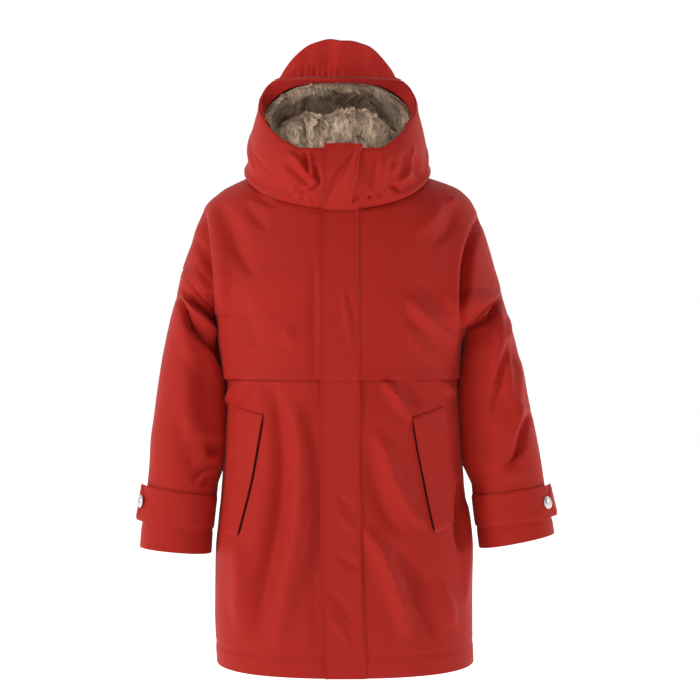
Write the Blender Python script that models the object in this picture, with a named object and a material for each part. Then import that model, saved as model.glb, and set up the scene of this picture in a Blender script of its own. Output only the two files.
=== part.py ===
"""A child's hooded raincoat, hollow as when it is worn: a waterproof shell with a fur-lined hood.

Metres, +Z up. The front faces -Y and the wearer's right is at -X. The origin lies between the
shoulders, where the wearer holds the coat up.
"""

import bpy
import bmesh
import numpy as np
from math import pi

# Cloth and seams
WALL = 0.0025           # shell cloth with its padding
FUR = 0.007             # lining cloth with its pile
SEAM = 0.0003           # between two pieces that are sewn together
REST = 0.0006           # under a piece that lies on curved cloth
FRONT, BACK = -1, 1     # the face of the body, as a sign of Y
RIGHT, LEFT = -1, 1     # the wearer's side, as a sign of X

# Levels along the body, measured from the shoulders
NECK_FRONT, NECK_BACK, NECK_SIDE = -0.043, 0.002, 0.011
YOKE_HEM = -0.267
YOKE_OVERLAP = 0.020    # how far the fronts reach up under the yokes
HEM_FRONT, HEM_BACK, HEM_SIDE = -0.6634, -0.6650, -0.6527

# Shape of the level sections
SLEEVE_SQUARE = 2.2     # roundness of the sleeves' sections: 2 is an ellipse
DIP = 1.7               # how late a row of cloth rises from the middle to the side
ARMHOLE_OPEN = 0.45     # radians by which rows that end at the armhole stop short of the side
ARMHOLE_DEPTH = {FRONT: 0.058, BACK: 0.056}     # half of the armhole, before and behind the side
ROW_DROP = 0.020        # by which rows fall to the armhole's top, or rise to the underarm
WEB = 0.012             # height over which the side widens to the underarm
SIDE_CALM = 10          # how close to the side seam the folds run on: higher is closer
NECK_CALM = 0.03        # height below the neck seam over which they begin
TUCK_TOP, TUCK_END = -0.275, -0.335     # where the lower fronts lie right under the yokes, and freely

# Number of faces
MIDDLE_TO_SIDE = 10     # columns on each half of the body
RIDGE_ROWS, ARMHOLE_ROWS = 6, 10
YOKE_SIDE_ROWS, SKIRT_ROWS = 4, 16
SLEEVE_RINGS = 20
HOOD_TURN = 90 / MIDDLE_TO_SIDE      # degrees a column of the hood, to meet the body's columns
HOOD_RISE = 11                       # rows from the neck to the rim
PLACKET_COLUMNS, PLACKET_ROWS = 4, (6, 9, 14)
WELT_ROWS, WELT_COLUMNS = 8, 7
STRAP_ROWS, STRAP_COLUMNS, TAB_COLUMNS = 4, 16, 6
SNAP_SIDES = 16
VISOR_ROWS, LINING_ROWS = 4, 7
FACING_ROWS = 2
FOLD_LEG, FOLD_CREST_ROWS = 4, 9     # rows beside the lining, and from there over the crest

RED = (0.40, 0.018, 0.012, 1.0)
RED_INSIDE = (0.28, 0.012, 0.010, 1.0)
FUR_COLOUR = (0.36, 0.25, 0.17, 1.0)
SILVER = (0.75, 0.75, 0.74, 1.0)


def table(columns, *rows):
    """A table as {column name: array}."""
    return {name: np.array(values, float) for name, values in zip(columns.split(), zip(*rows))}


# The shoulders' outline down to the armhole's top: half widths
SHOULDERS = table(
    "level   right   left",
    (+0.011, 0.1270, 0.1150),
    (+0.006, 0.1380, 0.1320),
    (+0.000, 0.1504, 0.1480),
    (-0.007, 0.1635, 0.1620),
    (-0.014, 0.1725, 0.1700),
    (-0.022, 0.1822, 0.1773),
    (-0.033, 0.1904, 0.1830),
    (-0.046, 0.1962, 0.1887),
    (-0.065, 0.2030, 0.1957),
    (-0.080, 0.2070, 0.2003),
    (-0.099, 0.2140, 0.2060),
    (-0.117, 0.2200, 0.2110),
    (-0.131, 0.2230, 0.2155),
    (-0.145, 0.2260, 0.2193),
)

# The side seams below the arms: half widths
SIDES = table(
    "level   right   left",
    (-0.180, 0.1690, 0.1680),
    (-0.200, 0.1680, 0.1665),
    (-0.240, 0.1650, 0.1640),
    (-0.270, 0.1625, 0.1620),
    (-0.310, 0.1610, 0.1620),
    (-0.360, 0.1620, 0.1640),
    (-0.430, 0.1665, 0.1710),
    (-0.460, 0.1700, 0.1760),
    (-0.500, 0.1738, 0.1795),
    (-0.580, 0.1750, 0.1795),
    (-0.670, 0.1705, 0.1808),
)

# The body's level sections: depths on the middle line, and roundness (2 is an ellipse)
SECTIONS = table(
    "level   front   back    round",
    (+0.011, 0.0520, 0.0500, 2.0),
    (+0.006, 0.0660, 0.0620, 2.0),
    (+0.000, 0.0760, 0.0720, 2.0),
    (-0.007, 0.0850, 0.0800, 2.0),
    (-0.014, 0.0920, 0.0860, 2.0),
    (-0.022, 0.0970, 0.0900, 2.0),
    (-0.033, 0.1020, 0.0940, 2.0),
    (-0.065, 0.1100, 0.1010, 2.0),
    (-0.099, 0.1155, 0.1045, 2.0),
    (-0.145, 0.1185, 0.1050, 2.0),
    (-0.200, 0.1185, 0.1030, 2.6),
    (-0.240, 0.1180, 0.1020, 2.5),
    (-0.270, 0.1175, 0.1015, 2.5),
    (-0.310, 0.1160, 0.1015, 2.5),
    (-0.360, 0.1140, 0.1025, 2.5),
    (-0.430, 0.1110, 0.1050, 2.5),
    (-0.460, 0.1100, 0.1060, 2.5),
    (-0.500, 0.1090, 0.1075, 2.5),
    (-0.580, 0.1070, 0.1100, 2.5),
    (-0.670, 0.1050, 0.1120, 2.5),
)

# The sleeves' sections from armhole to cuff, each through an outer and an inner point beside the body
SLEEVES = {
    RIGHT: table(
        "outer   outer_z  inner   inner_z  front   back",
        (0.2200, -0.1170, 0.1725, -0.1810, 0.0640, 0.0620),
        (0.2277, -0.1530, 0.1775, -0.2060, 0.0650, 0.0590),
        (0.2360, -0.1860, 0.1715, -0.2400, 0.0660, 0.0560),
        (0.2456, -0.2330, 0.1665, -0.2780, 0.0670, 0.0530),
        (0.2530, -0.2815, 0.1650, -0.3150, 0.0670, 0.0500),
        (0.2580, -0.3215, 0.1655, -0.3480, 0.0670, 0.0470),
        (0.2620, -0.3505, 0.1670, -0.3720, 0.0665, 0.0440),
        (0.2645, -0.3890, 0.1700, -0.4060, 0.0655, 0.0410),
        (0.2677, -0.4195, 0.1728, -0.4330, 0.0650, 0.0380),
        (0.2738, -0.4580, 0.1765, -0.4690, 0.0650, 0.0360),
        (0.2770, -0.4960, 0.1790, -0.5050, 0.0650, 0.0350),
    ),
    LEFT: table(
        "outer   outer_z  inner   inner_z  front   back",
        (0.2193, -0.1450, 0.1725, -0.1980, 0.0640, 0.0620),
        (0.2250, -0.1697, 0.1770, -0.2210, 0.0650, 0.0590),
        (0.2367, -0.2063, 0.1725, -0.2520, 0.0660, 0.0560),
        (0.2450, -0.2415, 0.1700, -0.2830, 0.0670, 0.0530),
        (0.2549, -0.2870, 0.1705, -0.3180, 0.0670, 0.0500),
        (0.2600, -0.3110, 0.1715, -0.3380, 0.0670, 0.0470),
        (0.2650, -0.3353, 0.1725, -0.3570, 0.0665, 0.0440),
        (0.2732, -0.3795, 0.1765, -0.3960, 0.0655, 0.0410),
        (0.2795, -0.4210, 0.1795, -0.4340, 0.0650, 0.0380),
        (0.2870, -0.4526, 0.1835, -0.4660, 0.0650, 0.0360),
        (0.2912, -0.4775, 0.1880, -0.4980, 0.0650, 0.0350),
    ),
}

# The hood from the chin (turn 0) round to the crown (turn 180): the rim's points, and how the cloth
# leaves the neck seam (low) and reaches the rim (high); outward is away from the hood's middle
HOOD_MIDDLE = -0.0055
HOOD = table(
    "turn  rim     rim_y    rim_z   low     low_y   low_z   high    high_y  high_z",
    (0.0, 0.0000, -0.1220, 0.0400, 0.0000, -0.0200, 0.0230, 0.0000, -0.006, -0.020),
    (22., 0.0470, -0.1180, 0.0390, 0.0040, -0.0180, 0.0230, 0.0040, -0.006, -0.020),
    (45., 0.0830, -0.0990, 0.0600, 0.0080, -0.0140, 0.0260, 0.0120, -0.004, -0.024),
    (65., 0.0990, -0.0790, 0.0790, 0.0080, -0.0060, 0.0320, 0.0140, 0.0080, -0.030),
    (80., 0.1065, -0.0600, 0.0930, 0.0060, 0.0060, 0.0360, 0.0130, 0.0240, -0.026),
    (100, 0.1080, -0.0470, 0.1080, 0.0040, 0.0240, 0.0420, 0.0020, 0.0420, -0.020),
    (120, 0.1015, -0.0400, 0.1250, 0.0080, 0.0450, 0.0520, -0.004, 0.0600, -0.008),
    (135, 0.0930, -0.0400, 0.1350, 0.0130, 0.0650, 0.0600, 0.0000, 0.0800, 0.0080),
    (148, 0.0825, -0.0440, 0.1395, 0.0150, 0.0850, 0.0660, 0.0040, 0.0980, 0.0300),
    (165, 0.0420, -0.0580, 0.1400, 0.0100, 0.1020, 0.0730, 0.0040, 0.1150, 0.0560),
    (180, 0.0000, -0.0650, 0.1390, 0.0000, 0.1100, 0.0770, 0.0000, 0.1220, 0.0700),
)
STRIP_TURN = 144.0      # the seam between a side of the hood and its centre strip

# The fur lining's front edge and its run back into the hood, in the same terms
LINING = table(
    "turn  rim     rim_y    rim_z   low     low_y   low_z   high    high_y  high_z",
    (0.0, 0.0000, -0.1140, 0.0330, 0.0000, -0.0060, 0.0140, 0.0000, 0.0000, -0.016),
    (22., 0.0440, -0.1100, 0.0320, 0.0020, -0.0060, 0.0140, 0.0000, 0.0000, -0.016),
    (45., 0.0760, -0.0900, 0.0530, 0.0040, -0.0040, 0.0200, 0.0060, 0.0000, -0.020),
    (65., 0.0930, -0.0700, 0.0720, 0.0040, 0.0000, 0.0260, 0.0100, 0.0100, -0.024),
    (80., 0.1000, -0.0500, 0.0865, 0.0020, 0.0060, 0.0320, 0.0060, 0.0260, -0.022),
    (100, 0.0960, -0.0370, 0.1020, 0.0000, 0.0200, 0.0400, 0.0020, 0.0420, -0.020),
    (120, 0.0820, -0.0340, 0.1165, 0.0020, 0.0380, 0.0500, 0.0020, 0.0560, -0.018),
    (135, 0.0680, -0.0370, 0.1250, 0.0040, 0.0520, 0.0580, 0.0020, 0.0660, -0.012),
    (148, 0.0530, -0.0430, 0.1305, 0.0040, 0.0660, 0.0640, 0.0020, 0.0780, -0.008),
    (165, 0.0260, -0.0510, 0.1340, 0.0020, 0.0760, 0.0680, 0.0020, 0.0860, -0.006),
    (180, 0.0000, -0.0540, 0.1345, 0.0000, 0.0800, 0.0700, 0.0000, 0.0880, -0.006),
)
LINING_IN = 0.009       # the lining's foot, in from the neck seam
LINING_RISE = 0.004     # and above it
HOOD_MIDDLE_Y = -0.010  # the hood's upright middle line, with HOOD_MIDDLE

# The visor: its free edge above and before the rim, from the middle outwards
VISOR_HALF = 0.0805
VISOR_UP, VISOR_OUT = 0.0430, 0.0380
VISOR_ROUND = 2.7       # its roundness seen from the front: 2 is an ellipse
VISOR_LOW = 0.05        # the visor's height at its ends, as a share
VISOR_WALL = 0.003

# The facing inside the rim, and the fold of fur behind the chin
FACING_TURN = 63.0
FACING_END = 0.88       # where the facing stops on its way from the shell to the lining
FOLD_TURN = 54.0
FOLD_WALL = 0.006
FOLD_SHOULDER = 0.6     # height of the fold's shoulders on the way to its crest
FOLD_REACH = (0.10, 0.42, 0.86, 1.0)    # of the shoulders, the crest and the foot, from the rim backwards
FOLD = table(
    "turn   crest_z  back     foot",
    (-50.0, 0.0760, 0.0420, 0.0400),
    (-34.0, 0.0880, 0.0500, 0.0320),
    (-16.0, 0.0830, 0.0520, 0.0260),
    (+0.00, 0.0890, 0.0560, 0.0240),
    (+20.0, 0.0880, 0.0520, 0.0280),
    (+36.0, 0.0800, 0.0480, 0.0340),
    (+50.0, 0.0680, 0.0400, 0.0420),
)

# The placket's edges beside the middle line
PLACKET = table(
    "level   right    left",
    (+0.045, -0.0225, 0.0280),
    (+0.000, -0.0235, 0.0250),
    (-0.043, -0.0255, 0.0225),
    (-0.267, -0.0280, 0.0245),
    (-0.460, -0.0280, 0.0275),
    (-0.600, -0.0245, 0.0315),
    (-0.664, -0.0215, 0.0335),
)
PLACKET_TOP = 0.004     # above the hood's chin edge

# The pocket welts' outer and inner edges, from top to bottom
WELTS = {
    RIGHT: table(
        "outer   outer_z  inner   inner_z",
        (0.1462, -0.3027, 0.1041, -0.3124),
        (0.1518, -0.3380, 0.1112, -0.3540),
        (0.1545, -0.3800, 0.1195, -0.4000),
        (0.1560, -0.4250, 0.1290, -0.4400),
        (0.1590, -0.4744, 0.1390, -0.4777),
    ),
    LEFT: table(
        "outer   outer_z  inner   inner_z",
        (0.1383, -0.3014, 0.0936, -0.3164),
        (0.1437, -0.3443, 0.1005, -0.3580),
        (0.1510, -0.3800, 0.1085, -0.3980),
        (0.1557, -0.4150, 0.1160, -0.4360),
        (0.1584, -0.4569, 0.1242, -0.4721),
    ),
}

# The cuff straps: their turn round the sleeve (0 outside, 90 front) and their place along it
STRAP_START, STRAP_END = 172.0, 8.0
STRAP_TOP, STRAP_BOTTOM = 7.75, 9.05    # in sections of the sleeve table
TAB_TIP = 0.014                         # the pointed end beyond STRAP_END
TAB_SHOULDER = 0.55                     # where its slanted sides begin, as a share of that
TAB_LIFT = 0.004                        # how far the tab's end stands off the sleeve
STRAP_REST = 0.0009                     # under the strap
TAB_BLUNT = 0.30                        # width of the tab's end as a share of the strap
SNAP_TURN = {RIGHT: 14.0, LEFT: 24.0}
SNAP_RADIUS, SNAP_GAP = 0.0085, 0.0005  # and the gap under the snap
SNAP_RINGS = ((1.0, 0.0), (1.0, 0.0016), (0.82, 0.0026), (0.45, 0.0036))    # shares of the radius, heights

# The largest folds on the body: a trough (height below 0) or ridge from one point to another
BODY_FOLDS = {
    FRONT: table(
        "x        z        to_x     to_z     width   height",
        (-0.1600, -0.0360, -0.1220, -0.1220, 0.0130, -0.0045),
        (-0.1840, -0.0450, -0.1780, -0.1500, 0.0110, -0.0080),
        (+0.1780, -0.0600, +0.1670, -0.1700, 0.0120, -0.0160),
        (+0.0900, -0.1600, +0.1500, -0.2150, 0.0120, +0.0055),
        (-0.0830, -0.3050, -0.0860, -0.4600, 0.0140, -0.0065),
        (-0.0860, -0.4600, -0.1150, -0.6000, 0.0140, -0.0075),
        (-0.0550, -0.3200, -0.0560, -0.4700, 0.0150, +0.0060),
        (-0.0560, -0.4700, -0.0850, -0.6100, 0.0150, +0.0075),
        (-0.1400, -0.4850, -0.1370, -0.5900, 0.0120, +0.0040),
        (+0.0600, -0.2720, +0.0920, -0.3180, 0.0110, +0.0045),
        (+0.0500, -0.3400, +0.0920, -0.4420, 0.0120, +0.0060),
        (+0.0500, -0.4760, +0.0710, -0.5380, 0.0130, +0.0060),
        (+0.0710, -0.5380, +0.0840, -0.6020, 0.0130, +0.0065),
        (+0.0780, -0.4950, +0.1200, -0.6000, 0.0130, -0.0060),
    ),
    BACK: table(
        "x        z        to_x     to_z     width   height",
        (-0.1760, -0.0600, -0.1680, -0.1650, 0.0120, -0.0100),
        (+0.1740, -0.0600, +0.1650, -0.1800, 0.0120, -0.0110),
        (-0.1650, -0.0600, -0.1200, -0.1300, 0.0130, -0.0045),
        (+0.1600, -0.0650, +0.1250, -0.1500, 0.0130, -0.0045),
        (-0.1450, -0.1920, -0.0720, -0.2400, 0.0140, +0.0050),
        (+0.1450, -0.2020, +0.0820, -0.2600, 0.0140, +0.0050),
        (-0.1080, -0.4300, -0.1300, -0.6200, 0.0150, +0.0060),
        (-0.0700, -0.4000, -0.0830, -0.6400, 0.0150, -0.0065),
        (-0.0320, -0.3500, -0.0360, -0.6300, 0.0160, +0.0060),
        (+0.0160, -0.4000, +0.0200, -0.6450, 0.0150, -0.0055),
        (+0.0650, -0.3500, +0.0860, -0.6200, 0.0160, +0.0065),
        (+0.1080, -0.4000, +0.1170, -0.6300, 0.0140, -0.0060),
    ),
}

# The sleeves' largest folds, placed by turn round the sleeve and section along it
SLEEVE_FOLDS = {
    RIGHT: table(
        "turn   along  to_turn  to_along  width   height",
        (52.0, 0.75, 98.00, 1.35, 0.0090, -0.0120),
        (98.0, 1.35, 150.0, 1.90, 0.0090, -0.0120),
        (92.0, 0.45, 146.0, 1.00, 0.0090, -0.0100),
        (60.0, 2.20, 84.00, 5.20, 0.0150, +0.0040),
        (150., 5.60, 110.0, 7.20, 0.0110, -0.0060),
        (300., 0.90, 230.0, 2.30, 0.0130, -0.0080),
        (226., 5.60, 284.0, 7.10, 0.0130, -0.0060),
    ),
    LEFT: table(
        "turn   along  to_turn  to_along  width   height",
        (30.0, 0.25, 84.00, 0.75, 0.0090, -0.0120),
        (84.0, 0.75, 140.0, 1.10, 0.0090, -0.0120),
        (52.0, 0.90, 70.00, 3.40, 0.0120, +0.0055),
        (42.0, 1.90, 66.00, 4.60, 0.0100, -0.0055),
        (20.0, 4.60, 62.00, 6.60, 0.0110, -0.0090),
        (298., 0.80, 228.0, 2.10, 0.0130, -0.0080),
        (222., 5.30, 284.0, 6.80, 0.0130, -0.0060),
    ),
}


def follow(knots, values, at):
    """A smooth curve through a table's values that overshoots none of them, read at `at`."""
    order = np.argsort(knots)
    knots, values, at = knots[order], values[order], np.asarray(at, float)
    step = np.diff(knots)
    slope = np.diff(values) / step
    lean = np.concatenate([slope[:1], np.zeros(len(knots) - 2), slope[-1:]])
    rising = slope[1:] * slope[:-1] > 0
    mean = slope[1:] + slope[:-1]
    lean[1:-1][rising] = 2 * (slope[1:] * slope[:-1])[rising] / mean[rising]
    i = np.clip(np.searchsorted(knots, at) - 1, 0, len(step) - 1)
    t = np.clip((at - knots[i]) / step[i], 0, 1)
    near = values[i] * (1 + 2 * t) * (1 - t) ** 2 + step[i] * lean[i] * t * (1 - t) ** 2
    far = values[i + 1] * t * t * (3 - 2 * t) + step[i] * lean[i + 1] * t * t * (t - 1)
    return near + far


def ease(low, high, at):
    """0 below low, 1 above high, and a smooth rise between them."""
    t = np.clip((np.asarray(at, float) - low) / (high - low), 0, 1)
    return t * t * (3 - 2 * t)


def unit(vectors):
    return vectors / np.maximum(np.linalg.norm(vectors, axis=-1, keepdims=True), 1e-12)


def normals_of(grid, closed=False):
    """The normals of a grid of points, on the side where rows down and columns across turn right."""
    if closed:
        across = np.roll(grid, -1, 1) - np.roll(grid, 1, 1)
    else:
        across = np.gradient(grid, axis=1)
    return unit(np.cross(across, np.gradient(grid, axis=0)))


def folds_at(folds, first, second, scale=(1.0, 1.0)):
    """The height of the folds at points given in the folds' own two coordinates."""
    height = np.zeros(np.broadcast(first, second).shape)
    names = list(folds)
    for row in zip(*(folds[name] for name in names)):
        x, z, to_x, to_z, width, rise = row
        start, run = (x * scale[0], z * scale[1]), ((to_x - x) * scale[0], (to_z - z) * scale[1])
        off_x, off_z = first * scale[0] - start[0], second * scale[1] - start[1]
        t = np.clip((off_x * run[0] + off_z * run[1]) / (run[0] ** 2 + run[1] ** 2), 0, 1)
        away = np.hypot(off_x - t * run[0], off_z - t * run[1]) / width
        height = height + rise * (0.35 + 0.65 * np.sin(pi * t)) * np.exp(-away ** 2)
    return height


# ---- the body -------------------------------------------------------------------------------

def armhole(side):
    """x and z of the armhole seam's two ends: the notch on the shoulder and the underarm."""
    return tuple(SLEEVES[side][name][0] for name in ("outer", "outer_z", "inner", "inner_z"))


def trunk_half(side, z):
    """The half width of the body below the arms, which widens to the underarm."""
    half = follow(SIDES["level"], SIDES[side_name(side)], z)
    _, _, under_x, under_z = armhole(side)
    at_under = follow(SIDES["level"], SIDES[side_name(side)], under_z)
    return half + (under_x - at_under) * np.exp(-((z - under_z) / WEB) ** 2)


def section(face, z):
    """The depth and the roundness of a level section of one face of the body."""
    return (follow(SECTIONS["level"], SECTIONS["front" if face == FRONT else "back"], z),
            follow(SECTIONS["level"], SECTIONS["round"], z))


def half_width(side, face, z):
    """Where a level section ends. Between notch and underarm it runs on past the armhole seam."""
    notch_x, notch_z, under_x, under_z = armhole(side)
    swing = np.clip((notch_z - z) / (notch_z - under_z), 0, 1)
    seam_x = notch_x + (under_x - notch_x) * swing
    seam_y = 2 * ARMHOLE_DEPTH[face] * np.sqrt(swing * (1 - swing))
    depth, square = section(face, z)
    past_seam = seam_x / (1 - (seam_y / depth) ** square) ** (1 / square)
    shoulder = follow(SHOULDERS["level"], SHOULDERS[side_name(side)], z)
    above = np.where(z > notch_z, shoulder, past_seam)
    return np.where(z > under_z, above, trunk_half(side, z))


def body(x, z, face):
    """Points of the body's outer surface at x and z."""
    half = np.where(x < 0, half_width(RIGHT, face, z), half_width(LEFT, face, z))
    depth, square = section(face, z)
    away = np.clip(np.abs(x) / half, 0, 1)
    top = NECK_FRONT if face == FRONT else NECK_BACK
    fade = (1 - away ** SIDE_CALM) * ease(NECK_SIDE, top - NECK_CALM, z)
    deep = depth * (1 - away ** square) ** (1 / square) + fade * folds_at(BODY_FOLDS[face], x, z)
    return np.stack([x + 0 * z, face * (deep + SEAM / 2), z + 0 * x], -1)


def side_path(side, bottom, side_rows):
    """The body's edge in x and z: over the shoulder, down the armhole, down the side seam."""
    notch_x, notch_z, under_x, under_z = armhole(side)
    level = np.linspace(NECK_SIDE, notch_z, 200)
    reach = half_width(side, FRONT, level)
    length = np.concatenate([[0], np.cumsum(np.hypot(np.diff(level), np.diff(reach)))])
    ridge = np.interp(np.linspace(0, length[-1], RIDGE_ROWS + 1), length, level)
    turn = np.linspace(0, pi, ARMHOLE_ROWS + 1)[1:]
    swing = (1 - np.cos(turn)) / 2
    down = np.linspace(under_z, bottom, side_rows + 1)[1:]
    x = np.concatenate([
        half_width(side, FRONT, ridge), notch_x + (under_x - notch_x) * swing, trunk_half(side, down)])
    z = np.concatenate([ridge, notch_z + (under_z - notch_z) * swing, down])
    open_by = np.concatenate([0 * ridge, np.sin(turn), 0 * down])
    return x, z, pi / 2 - ARMHOLE_OPEN * open_by


def middle_path(side, top, bottom, side_rows):
    """The levels where the rows of side_path start, on the middle line."""
    _, notch_z, _, under_z = armhole(side)
    notch, under = notch_z + ROW_DROP, under_z - ROW_DROP
    return np.concatenate([
        np.linspace(top, notch, RIDGE_ROWS + 1),
        np.linspace(notch, under, ARMHOLE_ROWS + 1)[1:],
        np.linspace(under, bottom, side_rows + 1)[1:],
    ])


def along_row(share, middle, edge_x, edge_z, most=pi / 2):
    """x and z at a share of the way from the middle line to the edge, as a section's arc."""
    _, square = section(FRONT, edge_z)
    swing = (np.sin(most * share) / np.sin(most)) ** (2 / square)
    return edge_x * swing, middle + (edge_z - middle) * share ** DIP


def spread(side, middle, edge_x, edge_z, most):
    """x and z of rows of points from the middle line to the edge."""
    share = np.linspace(0, 1, MIDDLE_TO_SIDE + 1)
    x, z = along_row(share, middle[:, None], edge_x[:, None], edge_z[:, None], most[:, None])
    return side * np.maximum(x, SEAM / 2), z


def outward(grid, side):
    """The outward normals of a grid whose rows run down and whose columns run to that side."""
    return -normals_of(grid) * side


def yoke_grid(side):
    edge = side_path(side, YOKE_HEM, YOKE_SIDE_ROWS)
    middle = middle_path(side, NECK_FRONT, YOKE_HEM, YOKE_SIDE_ROWS)
    return body(*spread(side, middle, *edge), FRONT)


def tuck(z):
    """How far a lower front lies in from the body's surface: it goes under the yoke at its top."""
    return -(WALL + REST) * ease(TUCK_END, TUCK_TOP, z)


def front_grid(side):
    top = YOKE_HEM + YOKE_OVERLAP
    down = np.linspace(0, 1, SKIRT_ROWS + 1)
    edge_z = top + (HEM_SIDE - top) * down
    middle = top + (HEM_FRONT - top) * down
    x, z = spread(side, middle, trunk_half(side, edge_z), edge_z, 0 * edge_z + pi / 2)
    grid = body(x, z, FRONT)
    moved = grid + outward(grid, side) * tuck(z)[..., None]
    moved[:, 0, 0] = grid[:, 0, 0]
    moved[..., 1] = np.minimum(moved[..., 1], -SEAM / 2)
    return moved


def back_grid():
    """The back, from the wearer's left to the right."""
    halves = []
    for side in (RIGHT, LEFT):
        rows = YOKE_SIDE_ROWS + SKIRT_ROWS
        edge = side_path(side, HEM_SIDE, rows)
        middle = middle_path(RIGHT, NECK_BACK, HEM_BACK, rows)
        halves.append(body(*spread(side, middle, *edge), BACK))
    right, left = halves
    left[:, 0, 0] = right[:, 0, 0] = 0.0
    return np.concatenate([left[:, ::-1], right[:, 1:]], 1)


# ---- the sleeves ----------------------------------------------------------------------------

def sleeve(side, turn, along):
    """Points of a sleeve's outer surface at angles round it (0 outside, 90 front) and sections."""
    rows = SLEEVES[side]
    at = np.arange(len(rows["outer"]), dtype=float)
    read = {name: follow(at, rows[name], along) for name in rows}
    angle = np.radians(turn)
    cosine, sine = np.cos(angle), np.sin(angle)
    notch_x, notch_z, under_x, under_z = armhole(side)
    swing = (1 - cosine) / 2
    hole_x = side * (notch_x + (under_x - notch_x) * swing)
    hole_z = notch_z + (under_z - notch_z) * swing
    hole_y = np.where(sine >= 0, body(hole_x, hole_z, FRONT)[..., 1], body(hole_x, hole_z, BACK)[..., 1])
    hole_y = np.where(np.abs(sine) < 1e-6, 0.0, hole_y)
    round_x = np.sign(cosine) * np.abs(cosine) ** (2 / SLEEVE_SQUARE)
    round_y = np.sign(sine) * np.abs(sine) ** (2 / SLEEVE_SQUARE)
    grown = ease(0.0, 1.8, along)
    swing = (1 - cosine * (1 - grown) - round_x * grown) / 2
    x = side * (read["outer"] + (read["inner"] - read["outer"]) * swing)
    z = read["outer_z"] + (read["inner_z"] - read["outer_z"]) * swing
    middle = (read["back"] - read["front"]) / 2
    ring_y = middle - round_y * (read["back"] + read["front"]) / 2
    return np.stack([x, hole_y * (1 - grown) + ring_y * grown, z], -1)


def sleeve_folded(side, turn, along):
    """The sleeve with its folds, which die out at the armhole and at the cuff."""
    plain = sleeve(side, turn, along)
    nudge = 0.5
    across = sleeve(side, turn + nudge, along) - sleeve(side, turn - nudge, along)
    last = len(SLEEVES[side]["outer"]) - 1
    ahead = np.clip(along + 0.05, 0, last)
    behind = np.clip(along - 0.05, 0, last)
    down = sleeve(side, turn, ahead) - sleeve(side, turn, behind)
    normal = unit(np.cross(across, down)) * side
    height = folds_at(SLEEVE_FOLDS[side], turn % 360, along, scale=(0.055 * pi / 180, 0.036))
    height = height * ease(0.1, 0.9, along) * ease(last, last - 1.2, along)
    return plain + normal * height[..., None]


def sleeve_grid(side):
    turn = np.linspace(0, 360, 2 * ARMHOLE_ROWS + 1)[:-1]
    along = np.linspace(0, len(SLEEVES[side]["outer"]) - 1, SLEEVE_RINGS + 1)
    return sleeve_folded(side, *np.meshgrid(turn, along))


# ---- the hood -------------------------------------------------------------------------------

def neck_loop(turn):
    """The neck seam, by the angle from the middle of the front: plus is the wearer's left."""
    around = np.abs(turn)
    share = np.where(around <= 90, around, 180 - around) / 90
    middle = np.where(around <= 90, NECK_FRONT, NECK_BACK)
    edge = np.where(turn < 0, half_width(RIGHT, FRONT, NECK_SIDE), half_width(LEFT, FRONT, NECK_SIDE))
    x, z = along_row(share, middle, edge, NECK_SIDE)
    x = np.where(turn < 0, RIGHT, LEFT) * x
    return np.where((around <= 90)[..., None], body(x, z, FRONT), body(x, z, BACK))


def bent(start, start_pull, end_pull, end, share):
    """A cubic curve between two points, pulled by two others."""
    t = share[..., None]
    one = 1 - t
    return one ** 3 * start + 3 * one * one * t * start_pull + 3 * one * t * t * end_pull + t ** 3 * end


def drape(shape, turn, share, foot):
    """Points of a hood surface: turn round it, and the share of the way from foot to rim."""
    around = np.abs(turn)
    side = np.where(turn < 0, RIGHT, LEFT)
    shift = HOOD_MIDDLE * ease(0, 60, around)

    def three(name):
        x, y, z = (follow(shape["turn"], shape[name + end], around) for end in ("", "_y", "_z"))
        return np.stack([side * x, y, z], -1)

    rim = three("rim") + np.stack([shift, 0 * shift, 0 * shift], -1)
    return bent(foot, foot + three("low"), rim + three("high"), rim, share)


def hood(turn, share):
    return drape(HOOD, turn, share, neck_loop(turn))


def lining(turn, share):
    """The lining's back, which faces the shell."""
    foot = neck_loop(turn)
    foot = foot + inward_from(foot) * LINING_IN + np.array([0, 0, LINING_RISE])
    return drape(LINING, turn, share, foot)


# ---- meshes ---------------------------------------------------------------------------------

EDGES = {               # a grid's edges, each with the line of points next to it
    "first": ((slice(None), 0), (slice(None), 1)),
    "last": ((slice(None), -1), (slice(None), -2)),
    "top": ((0,), (1,)),
    "bottom": ((-1,), (-2,)),
}


def trim(grid, edges):
    """Draws named edges of a grid back by half a seam, so that a neighbour keeps its distance."""
    grid = grid.copy()
    for edge in edges:
        at, inner = EDGES[edge]
        grid[at] += SEAM / 2 * unit(grid[inner] - grid[at])
    return grid


def cloth(name, colour, outer, normals, thickness=WALL, closed=False, limit=None, roughness=0.6):
    """A wall of cloth: the outer points, the same points moved in, and the edges between them."""
    inner = outer - normals * thickness
    if limit is not None:
        inner = limit(inner)
    rows, columns = outer.shape[:2]
    points = np.concatenate([outer.reshape(-1, 3), inner.reshape(-1, 3)])
    half = rows * columns

    def at(row, column, layer):
        return layer * half + row * columns + column % columns

    def rim(start, end):
        return [at(*start, 0), at(*end, 0), at(*end, 1), at(*start, 1)]

    faces = []
    across = columns if closed else columns - 1
    for row in range(rows - 1):
        for column in range(across):
            corners = [(row, column), (row + 1, column), (row + 1, column + 1), (row, column + 1)]
            faces.append([at(*corner, 0) for corner in corners])
            faces.append([at(*corner, 1) for corner in reversed(corners)])
    for column in range(across):
        faces.append(rim((0, column), (0, column + 1)))
        faces.append(rim((rows - 1, column + 1), (rows - 1, column)))
    if not closed:
        for row in range(rows - 1):
            faces.append(rim((row + 1, 0), (row, 0)))
            faces.append(rim((row, columns - 1), (row + 1, columns - 1)))
    return solid(name, colour, points, faces, roughness)


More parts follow.
